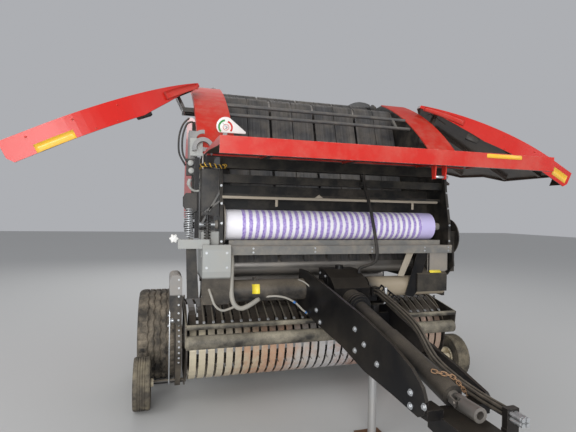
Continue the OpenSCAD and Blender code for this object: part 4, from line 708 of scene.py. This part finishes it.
wheelTrim = {
    "tyre": {"name": "main", "nuts": 8, "ring": 0.135, "dish": 0.016, "size": 0.011, "cap": 0.058,
        "hub": 0.054},
    "gauge_tyre": {"name": "gauge", "nuts": 5, "ring": 0.050, "dish": 0.010, "size": 0.007, "cap": 0.024,
        "hub": 0.040},
}
for side, name in ((-1, "left"), (1, "right")):
    for kind, s in wheelTrim.items():
        x, y, z = tyres[kind]["centre"]
        size, k = s["size"], s["cap"]
        turn = np.arange(s["nuts"]) * 2 * np.pi / s["nuts"]
        ring = [(y + s["ring"] * math.cos(t), z + s["ring"] * math.sin(t)) for t in turn]
        face = x + s["dish"]
        nuts = [boltShape((side * face, *p), (side, 0, 0), size, size) for p in ring]
        back = [boltShape((side * (face - 0.006), *p), (-side, 0, 0), size * 0.8, size * 1.2) for p in ring]
        cap = latheShape([[k, -0.002], [k, 0.012], [k * 0.92, 0.018], [k * 0.5, 0.022], [k * 0.1, 0.023]],
            (side * (x + s["hub"]), y, z), (side, 0, 0), 32)
        body = tyres[kind]["body"] + name
        zincPiece(s["name"] + "WheelNuts" + name, joined(nuts + back), body)
        makePiece(s["name"] + "HubCap" + name, cap, body, "blackEnamel")
print("wheel nuts made")

gauge = {"centre": (-0.850, 2.075), "front": -0.4386, "radius": 0.062}
cx, cz = gauge["centre"]
# the dial's pale face is a round plate, cut straight below and drawn out to the right
fan = np.vstack([arcOutline((cx, cz), gauge["radius"] + 0.001, 65, 222, 20),
    [[cx + 0.132, cz - 0.042], [cx + 0.136, cz - 0.030]]])
fan = np.clip(fan, [-9, cz - 0.042], [9, 9])
face = frontPlate(fan, (0, gauge["front"] + 0.0041, 0), 0.0045)
onChassis("gaugeFace", face, "dialWhite")
ringY = gauge["front"] - 0.0004
for name, paint, inner, outer, low, high in (("gaugeGreenArc", "dialGreen", 0.040, 0.052, 100, 222),
        ("gaugeRedArc", "dialRed", 0.034, 0.046, -38, 72),
        ("gaugeRedArcSmall", "dialRed", 0.018, 0.021, 0, 359)):
    onChassis(name, ringSector((cx, cz - 0.006), ringY, inner, outer, low, high, 0.0016),
        paint)
pointer = plateShape([[-0.004, -0.004], [0.004, -0.004], [0.0015, 0.036], [-0.0015, 0.036]],
    (cx, ringY - 0.0016, cz - 0.006), (0.77, 0, 0.64), (-0.64, 0, 0.77), 0.002, 0.0004)
pivot = latheShape([[0.009, 0], [0.009, 0.004], [0.006, 0.006]], (cx, ringY - 0.001, cz - 0.006),
    (0, -1, 0), 20)
zincPiece("gaugePointer", outward(joined([pointer, pivot])), "chassis")
print("bale gauge made")

spring = {"axis": (-1.083, -0.455), "low": 1.350, "high": 1.512, "radius": 0.027, "wire": 0.0045,
    "turns": 11}
x, y = spring["axis"]
helix = helixPath((x, y, spring["low"]), (x, y, spring["high"]), spring["radius"], spring["turns"], 14)
coil = tubeShape(helix, spring["wire"], 7)
ends = [latheShape([[0.030, 0], [0.030, 0.006]], (x, y, z), (0, 0, 1), 24)
    for z in (spring["low"] - 0.010, spring["high"] + 0.004)]
rod = latheShape([[0.007, 0], [0.007, 0.200]], (x, y, spring["low"] - 0.020), (0, 0, 1), 12)
zincPiece("tensionSpring", joined([coil, rod] + ends), "chassis")

# plates at the left column: outline in x and z, place in y and depth
leftPlates = {
    "controlBlock": ([(-1.104, 1.735), (-1.052, 1.735), (-1.052, 1.846), (-1.104, 1.846)], -0.435, 0.022,
        "blackPlastic"),
    "controlBox": ([(-1.077, 1.474), (-1.033, 1.507), (-1.035, 1.624), (-1.105, 1.622), (-1.123, 1.596),
        (-1.122, 1.538)],
        -0.432, 0.045, "blackPlastic"),
    "controlRail": ([(-1.046, 1.330), (-1.018, 1.330), (-1.022, 1.858), (-1.050, 1.858)], -0.430, 0.020,
        "blackEnamel"),
    "leftLeg": ([(-1.086, 0.930), (-1.010, 0.930), (-1.031, 1.262), (-1.096, 1.262)], -0.405, 0.020,
        "blackDusty"),
    "gaugeBox": ([(-1.083, 1.866), (-1.000, 1.866), (-1.000, 1.983), (-1.083, 1.983)], -0.436, 0.012,
        "palePlate"),
}
for name, (outline, y, depth, paint) in leftPlates.items():
    onChassis(name, frontPlate(outline, (0, y, 0), depth, 0.003), paint, False)
knobSpots = [(-1.079, -0.457, 1.815), (-1.075, -0.457, 1.766)]
knobs = [latheShape([[0.010, 0], [0.010, 0.010], [0.019, 0.012], [0.019, 0.026], [0.014, 0.030]], p,
    (0, -1, 0), 20) for p in knobSpots]
onChassis("controlKnobs", joined(knobs), "palePlate")
lever = smoothPath([(-1.081, -0.455, 1.714), (-1.087, -0.456, 1.681), (-1.072, -0.456, 1.650),
    (-1.046, -0.450, 1.637), (-1.020, -0.445, 1.640)], 30)
onChassis("controlLever", tubeShape(lever,
    np.interp(np.arange(30), [0, 9, 11, 29], [0.013, 0.013, 0.008, 0.008]), 10), "palePlate")
wires = [[(-1.090 + d, -0.450, 2.109 - d), (-1.125 + d, -0.452, 2.070), (-1.148 + d, -0.455, 2.008),
    (-1.155 + d, -0.455, 1.940), (-1.148 + d, -0.455, 1.870), (-1.110 + d / 2, -0.455, 1.800 + d)]
    for d in (0.0, 0.022)]
onChassis("controlWires", joined([tubeShape(smoothPath(w, 30), 0.006, 8) for w in wires]),
    "hoseRubber")
archSteps = [(0.071, 0.050, 0.030), (0.062, 0.044, 0.038)]
arch = [ringSector((-1.000, 1.916), -0.448 - d, inner, outer, -38, 196, -d)
    for outer, inner, d in archSteps]
onChassis("gaugeArch", joined(arch), "castGrey", False)
rail = tubeShape([(-0.871, -0.470, 1.603), (-0.300, -0.470, 1.603), (0.300, -0.470, 1.603),
    (0.772, -0.470, 1.603)], 0.010, 10)
peak = frontPlate([(-0.232, 1.606), (-0.152, 1.606), (-0.192, 1.636)], (0, -0.466, 0), 0.006)
props = [frontPlate(roundedOutline(0.018, 0.060, 0.004, 2), (x, -0.466, 1.575), 0.006)
    for x in (-0.50, 0.56)]
onChassis("rollRail", joined([rail, peak] + props), "beigeDusty")

cable = smoothPath([(-0.850, -0.436, 1.815), (-0.862, -0.456, 1.806), (-0.900, -0.461, 1.803),
    (-0.950, -0.458, 1.810), (-0.992, -0.440, 1.812), (-1.010, -0.380, 1.805), (-1.012, -0.338, 1.800)], 48)
onChassis("coiledCable", tubeShape(cable, 0.0105, 10), "blackPlastic")
# the wrap winds round the cable: its middle line, and a circle square to it that turns along the way
along = np.linspace(0.04, 0.96, 180)
core = np.stack([np.interp(along, np.linspace(0, 1, 48), cable[:, k]) for k in range(3)], 1)
tangent = np.gradient(core, axis=0)
tangent /= np.linalg.norm(tangent, axis=1)[:, None]
sideways = np.cross(tangent, [0, 0, 1])
sideways /= np.linalg.norm(sideways, axis=1)[:, None]
turn = along[:, None] * 2 * np.pi * 9
wrapPath = core + 0.0118 * (np.cos(turn) * sideways + np.sin(turn) * np.cross(tangent, sideways))
onChassis("cableWrap", tubeShape(wrapPath, 0.0030, 6), "yellowFilm")

# each pipe is a curve through these points, and its radius
pipes = {
    "pipeDown": ([(-0.805, -0.470, 1.222), (-0.805, -0.500, 1.160), (-0.808, -0.508, 1.060),
        (-0.806, -0.510, 0.960), (-0.785, -0.510, 0.895), (-0.740, -0.503, 0.868), (-0.680, -0.488, 0.884),
        (-0.610, -0.456, 0.916)], 0.016),
    "pipeUnder": ([(-0.955, -0.518, 1.005), (-0.942, -0.548, 0.965), (-0.918, -0.552, 0.905),
        (-0.870, -0.538, 0.868), (-0.810, -0.520, 0.876), (-0.778, -0.508, 0.888)], 0.008),
    "pipeAcross": ([(-0.560, -0.458, 0.930), (-0.500, -0.492, 0.938), (-0.430, -0.505, 0.925),
        (-0.360, -0.503, 0.886), (-0.310, -0.498, 0.838), (-0.270, -0.490, 0.806)], 0.007),
    "pipeFlange": ([(-0.330, -0.450, 1.040), (-0.300, -0.500, 1.028), (-0.262, -0.517, 0.990),
        (-0.250, -0.515, 0.930), (-0.255, -0.490, 0.885)], 0.005),
}
for name, (corners, radius) in pipes.items():
    onChassis(name, tubeShape(smoothPath(corners, 40), radius, 10), "paleHose")
# short blue sleeves on one pipe, each over three of its points
collars = [(p, smoothPath(pipes["pipeAcross"][0], 40)) for p in (22, 36)]
blue = [tubeShape(path[k - 1:k + 2], 0.0085, 12) for k, path in collars]
onChassis("pipeCollars", joined(blue), "bluePlastic")
print("springs and pipes made")

# the tongue's plates come together towards the hitch by this much for each metre
taper = 0.1400 / 1.800
boltTable = {
    "tongueBolts": ("chassis", (-1, -taper, 0), 0.012,
        [(-0.2610, -0.645, 0.865), (-0.2567, -0.702, 0.799), (-0.2218, -1.150, 0.869),
            (-0.2143, -1.247, 0.812), (-0.2215, -1.154, 0.752), (-0.2044, -1.374, 0.750),
            (-0.1835, -1.645, 0.715), (-0.1835, -1.645, 0.655), (-0.1762, -1.738, 0.690)]),
    "tongueBoltsRight": ("chassis", (1, -taper, 0), 0.012,
        [(0.2610, -0.645, 0.845), (0.2567, -0.702, 0.790), (0.2218, -1.150, 0.725),
        (0.1835, -1.645, 0.690), (0.1835, -1.645, 0.650)]),
    "beamBolts": ("chassis", (0, -1, 0), 0.005,
        [(x, -0.490, z) for x in (-0.87, -0.66, -0.22, 0.22, 0.66, 0.87) for z in (1.236, 1.262)]),
    "housingBolts": ("chassis", (0, -1, 0), 0.006,
        [(x, -0.550, z) for x in (-0.975, -0.845) for z in (1.145, 1.24)]),
    "gearboxBolts": ("chassis", (-1, 0, 0), 0.008,
        [(-0.130, y, z) for y, z in ((-0.46, 0.90), (-0.46, 1.06), (-0.36, 0.90), (-0.36, 1.07))]),
    "endPlateBolts": ("chassis", (0, -1, 0), 0.006,
        [(s * 0.875, -0.4905 if z < 1.45 else -0.4905 + (z - 1.45) * 0.2, z) for s in (-1, 1)
        for z in (1.31, 1.43, 1.56, 1.68)]),
    "pickupEndBolts": ("pickup", (0, -1, 0), 0.0055,
        [(-1.118, 0.10 - 0.21 * math.cos(t), 0.50 + 0.21 * math.sin(t))
            for t in np.linspace(-0.5, 0.85, 8)]),
    "shieldBolts": ("pickup", (0, -1, 0), 0.0055,
        [(-1.125, -0.130, z) for z in (0.72, 0.77, 0.83, 0.89, 0.95, 1.01)]),
    "guardEndBolts": ("windguard", (1, 0, 0), 0.008,
        [(1.086, y, z) for y, z in ((-0.278, 0.63), (-0.245, 0.60), (-0.29, 0.57), (-0.302, 0.705))]),
}
for name, (body, direction, size, spots) in boltTable.items():
    heads = [boltShape(p, direction, size, size * 0.7) for p in spots]
    zincPiece(name, joined(heads), body, False)

# flat blades along the row of fingers, from the roller to the tips, and a foot on each
fingers = {"count": 30, "pitch": 0.066, "from": (-0.302, 0.705), "to": (0.0, 0.852), "width": 0.015,
    "thick": 0.003}
reach = np.subtract(fingers["to"], fingers["from"])
along = np.array([0, *reach]) / np.linalg.norm(reach)
middle = np.add(fingers["from"], fingers["to"]) / 2
blade = plateShape(roundedOutline(fingers["width"], float(np.linalg.norm(reach)) - 0.045, 0.006, 3),
    (0, *middle), (1, 0, 0), along, fingers["thick"])
foot = (0, *(np.array(fingers["from"]) + reach * 0.13))
toe = plateShape(roundedOutline(fingers["width"] + 0.004, 0.022, 0.004, 3), foot, (1, 0, 0), along, 0.006)
places = [((k - (fingers["count"] - 1) / 2) * fingers["pitch"], 0, 0) for k in range(fingers["count"])]
makePiece("guardFingers", repeated(outward(blade), places), "windguard", "fingerSteel", False)
zincPiece("guardFingerFeet", repeated(outward(toe), places), "windguard", False)

# the cover falls towards the front by this much for each metre
coverFall = math.tan(math.radians(1.6))
coverBolts = [(x, y, 1.8830 - (-0.45 - y) * coverFall) for y in (-0.62, -0.98)
    for x in np.arange(-0.9, 1.0, 0.15)]
zincPiece("coverBolts", joined([boltShape(p, (0, 0, -1), 0.008, 0.006) for p in coverBolts]), "net_cover",
    False)
lipPlate = frontPlate(roundedOutline(0.25, 0.024, 0.006), (0.665, -1.2584, 1.853), 0.0012, 0.0004)
makePiece("lipReflector", lipPlate, "net_cover", "yellowFilm")
lug = np.array([[-0.022, 0.0], [-0.014, -0.090], [0.014, -0.090], [0.022, 0.0]])
lugs = [outward(plateShape(lug, (x, -1.19, 1.802), (0, -1, 0), (0, 0, 1), 0.008)) for x in (0.240, 0.308)]
pin = latheShape([[0.008, 0], [0.008, 0.092]], (0.233, -1.19, 1.725), (1, 0, 0), 16)
makePiece("coverLugs", joined(lugs), "net_cover", "redPaint", False)
zincPiece("coverPin", pin, "net_cover")

leftArm = frontPlate(roundedOutline(0.200, 0.060, 0.006), (-1.052, -0.492, 1.294), 0.008)
# the knob's edge waves in and out six times
lobes = np.linspace(0, 2 * np.pi, 60, endpoint=False)
knobRing = (0.026 + 0.004 * np.cos(lobes * 6))[:, None] * np.stack([np.cos(lobes), np.sin(lobes)], 1)
knob = frontPlate(knobRing, (-1.176, -0.482, 1.330), 0.026, 0.006)
stem = latheShape([[0.009, 0], [0.009, 0.060]], (-1.176, -0.440, 1.330), (0, -1, 0), 16)
onChassis("leftArm", leftArm, "palePlate", False)
onChassis("leftKnob", joined([knob, stem]), "dialWhite")
shaft = latheShape([[0.019, 0], [0.019, 0.100], [0.027, 0.100], [0.027, 0.118], [0.015, 0.118],
    [0.015, 0.140]],
    (-0.900, -0.350, 1.417), (-1, 0, 0), 28)
zincPiece("netShaft", shaft, "chassis", False)
strutEnds = [((-1.000, 1.425), (-0.880, 1.645)), ((-0.985, 1.498), (-0.876, 1.582)),
    ((-0.880, 1.575), (-0.880, 1.655))]
struts = []
for (x0, z0), (x1, z1) in strutEnds:
    ahead = np.array([x1 - x0, 0, z1 - z0])
    span = float(np.linalg.norm(ahead))
    middle = ((x0 + x1) / 2, -0.4385, (z0 + z1) / 2)
    struts.append(outward(plateShape(roundedOutline(span, 0.012, 0.003, 2), middle, ahead,
        (-ahead[2], 0, ahead[0]), 0.006)))
onChassis("columnStruts", joined(struts), "barSteel", False)
print("bolts made")


def bearingShape(place, side):
    # a pressed flange, a round housing and a grease cap, with four bolts on the flange
    x, y, z = place
    base = (side * x, y, z)
    flange = plateShape(roundedOutline(0.13, 0.13, 0.045, 6), base, (0, side, 0), (0, 0, 1), 0.006, 0.001)
    housing = latheShape([[0.045, 0.004], [0.043, 0.017], [0.030, 0.020], [0.018, 0.021], [0.017, 0.024]],
        base, (side, 0, 0), 28)
    spots = [(side * (x + 0.006), y + a * 0.046, z + b * 0.046) for a in (-1, 1) for b in (-1, 1)]
    return [outward(flange), housing], [boltShape(p, (side, 0, 0), 0.007, 0.006) for p in spots]


bearings = {"chassis": {1: [(0.32, 2.395), (-0.07, 1.105), (0.43, 0.93), (0.93, 0.54)],
    -1: [(0.32, 2.395)]},
    "tailgate": {k: [(1.5, 2.64), (2.15, 2.08), (2.15, 1.24), (1.64, 0.66), (1.23, 0.56)] for k in (-1, 1)}}
for body, sides in bearings.items():
    housings, heads = [], []
    for side, places in sides.items():
        for y, z in places:
            a, b = bearingShape((0.7905, y, z), side)
            housings += a
            heads += b
    makePiece(body + "Bearings", joined(housings), body, "blackDusty")
    zincPiece(body + "BearingBolts", joined(heads), body, False)
print("bearings made")

# flat panels that face forward, each an outline in x and z with its place in y
panels = {"rightFacePlate": ([(0.695, 1.219), (0.695, 1.075), (0.715, 1.062), (0.800, 1.056),
    (0.872, 1.085), (0.872, 1.219)], -0.4705, "greyDusty"),
    "rightSlantPlate": ([(0.598, 1.219), (0.500, 0.905), (0.566, 0.890), (0.598, 0.925), (0.690, 1.219)],
        -0.4815, "blackEnamel"),
    "rightBrace": ([(0.530, 1.219), (0.455, 1.045), (0.505, 1.040), (0.590, 1.219)], -0.4460, "beigeDusty")}
for name, (outline, y, paint) in panels.items():
    onChassis(name, frontPlate(outline, (0, y, 0), 0.006), paint, False)
# a label bent round the drive tube: a grid of points on part of a cylinder
tube = {"y": -0.400, "z": 0.965, "radius": 0.0744}
a = np.linspace(-0.15, 0.75, 12)
bent = tube["y"] - tube["radius"] * np.cos(a), tube["z"] + tube["radius"] * np.sin(a)
sleeve = np.stack([np.stack([np.full(12, x), *bent], 1)
    for x in (-0.660, -0.608)])
onChassis("tubeLabel", outward(slabShape(sleeve, (0, -0.0007, 0.0007))), "labelYellow")
slope = np.array([0, 0.6, 0.44]) / np.linalg.norm([0, 0.6, 0.44])
boxLabel = plateShape(roundedOutline(0.10, 0.045, 0.004), (0.755, -0.4800, 1.0830), (1, 0, 0), slope,
    0.0012, 0.0004)
onChassis("boxLabel", outward(boxLabel), "labelYellow")

chain = {"path": [(-0.036, -1.600, 0.781), (-0.010, -1.625, 0.778), (0.030, -1.645, 0.768),
    (0.066, -1.650, 0.733), (0.098, -1.650, 0.695), (0.130, -1.645, 0.674), (0.166, -1.640, 0.684)],
    "pitch": 0.021, "wire": 0.0036}


def linkShape(place, direction, flip, s):
    # a long loop: two half circles joined by straights, in a plane that turns from link to link
    d, u, v = frameOf(direction)
    wide = u if flip else v
    a = np.linspace(0, 2 * np.pi, 18, endpoint=False)
    long = 0.006 * np.sign(np.cos(a)) + 0.0085 * np.cos(a)
    return tubeShape(np.asarray(place) + long[:, None] * d + 0.0085 * np.sin(a)[:, None] * wide,
        s["wire"] * 0.8, 6, closed=True)


# the links sit at even steps along the way, and every second one is turned
route = smoothPath(chain["path"], 200)
length = np.concatenate([[0], np.cumsum(np.linalg.norm(np.diff(route, axis=0), axis=1))])
stops = np.arange(0.004, length[-1], chain["pitch"])
spots = np.stack([np.interp(stops, length, route[:, k]) for k in range(3)], 1)
heading = np.gradient(spots, axis=0)
onChassis("guardChain", joined([linkShape(p, h, k % 2, chain)
    for k, (p, h) in enumerate(zip(spots, heading))]), "chainRust")

# the crank grows thicker where it is held
grip = smoothPath([(0.196, -0.700, 0.898), (0.212, -0.700, 0.905), (0.217, -0.700, 0.930),
    (0.217, -0.700, 1.010)], 24)
zincPiece("jackCrank", tubeShape(grip, np.interp(np.arange(24), [0, 11, 12, 23],
    [0.006, 0.006, 0.011, 0.011]), 12), "chassis")

holder = {"corner": (0.205, -0.620, 0.990), "length": 0.190, "height": 0.085, "slope": -0.62, "slots": 6}
s = holder
along = np.array([math.cos(s["slope"]), 0, math.sin(s["slope"])])
up = np.array([-along[2], 0, along[0]])
bars = [((s["length"] / 2, 0.006), s["length"], 0.012),
    ((s["length"] / 2, s["height"] - 0.006), s["length"], 0.012)]
bars += [((s["length"] * k / s["slots"] * 0.95 + 0.005, s["height"] / 2), 0.011, s["height"])
    for k in range(s["slots"] + 1)]
low = np.asarray(s["corner"]) - up * s["height"] * 0.6
slats = [plateShape(roundedOutline(w, h, 0.002, 2), low + along * c[0] + up * c[1], along, up, 0.005)
    for c, w, h in bars]
onChassis("hoseHolder", joined([outward(q) for q in slats]), "blackEnamel", False)

for side, name in bothSides:
    strap = plateShape(roundedOutline(0.038, 0.60, 0.016), (side * 1.176, 0.115, 0.47), (0, side, 0),
        (0, 0, 1), 0.009, 0.002)
    nuts = [boltShape((side * 1.185, 0.115, z), (side, 0, 0), 0.009, 0.008) for z in (0.62, 0.70)]
    spacer = latheShape([[0.016, 0], [0.016, 0.040]], (side * 1.137, 0.115, 0.66), (side, 0, 0), 20)
    zincPiece("gaugeLeg" + name, joined([outward(strap), spacer] + nuts), "pickup")

lampPlate, lensPlate = roundedOutline(0.10, 0.17, 0.014), roundedOutline(0.086, 0.070, 0.010)
armPlate = [(0, -0.05), (0.20, -0.03), (0.20, 0.03), (0, 0.05)]
for side, name in bothSides:
    x, y, z = side * 0.93, 2.060, 1.34
    arm = plateShape(armPlate, (side * 0.788, y + 0.002, z), (side, 0, 0), (0, 0, 1), 0.006, 0.001)
    lampBox = plateShape(lampPlate, (x, y, z), (-1, 0, 0), (0, 0, 1), 0.030, 0.004)
    makePiece("lampArm" + name, outward(arm), "tailgate", "blackEnamel", False)
    makePiece("lampBox" + name, outward(lampBox), "tailgate", "blackPlastic")
    for colour, rise in (("Red", 0.038), ("Amber", -0.038)):
        lens = plateShape(lensPlate, (x, y + 0.029, z + rise), (-1, 0, 0), (0, 0, 1), 0.010, 0.004)
        makePiece("lamp" + colour + name, outward(lens), "tailgate", "lamp" + colour)
print("chain, holder, legs and lamps made")


studio = {"floor": (0.54, 0.54, 0.53), "sky": (0.93, 0.95, 1.0), "skyStrength": 0.45,
    "lamps": [((-3.0, -9.0, 2.6), 4.5, 620), ((-6.0, -4.5, 6.0), 4.5, 180), ((6.0, -4.5, 5.0), 5.0, 110),
        ((0, 7, 6), 6.0, 200)]}


def makeStudio(s):
    # a flat pale floor, an even sky and four wide lamps that face the machine
    x = np.array([-30, 30, 30, -30.0])
    floor = makeMesh("floor", np.stack([x, [-30, -30, 30, 30], np.zeros(4)], 1), [[0, 1, 2, 3]], False)
    material, tree, shader = newMaterial("paleFloor")
    plug(tree, shader.inputs["Base Color"], s["floor"])
    plug(tree, shader.inputs["Roughness"], 0.9)
    floor.data.materials.append(material)
    world = bpy.data.worlds.new("sky")
    bpy.context.scene.world = world
    world.use_nodes = True
    sky = world.node_tree.nodes["Background"]
    sky.inputs[0].default_value = (*s["sky"], 1)
    sky.inputs[1].default_value = s["skyStrength"]
    for k, (place, size, power) in enumerate(s["lamps"]):
        lamp = bpy.data.lights.new("lamp%d" % k, "AREA")
        lamp.size, lamp.energy = size, power
        holder = bpy.data.objects.new("lamp%d" % k, lamp)
        bpy.context.collection.objects.link(holder)
        back, side, up = frameOf(np.array(place) - [0, 0, 1.2])
        rows = np.eye(4)
        rows[:3, 0], rows[:3, 1], rows[:3, 2], rows[:3, 3] = side, np.cross(back, side), back, place
        holder.matrix_world = Matrix(rows.tolist())


makeStudio(studio)
bpy.context.scene.view_settings.view_transform = "Standard"
print("studio made")
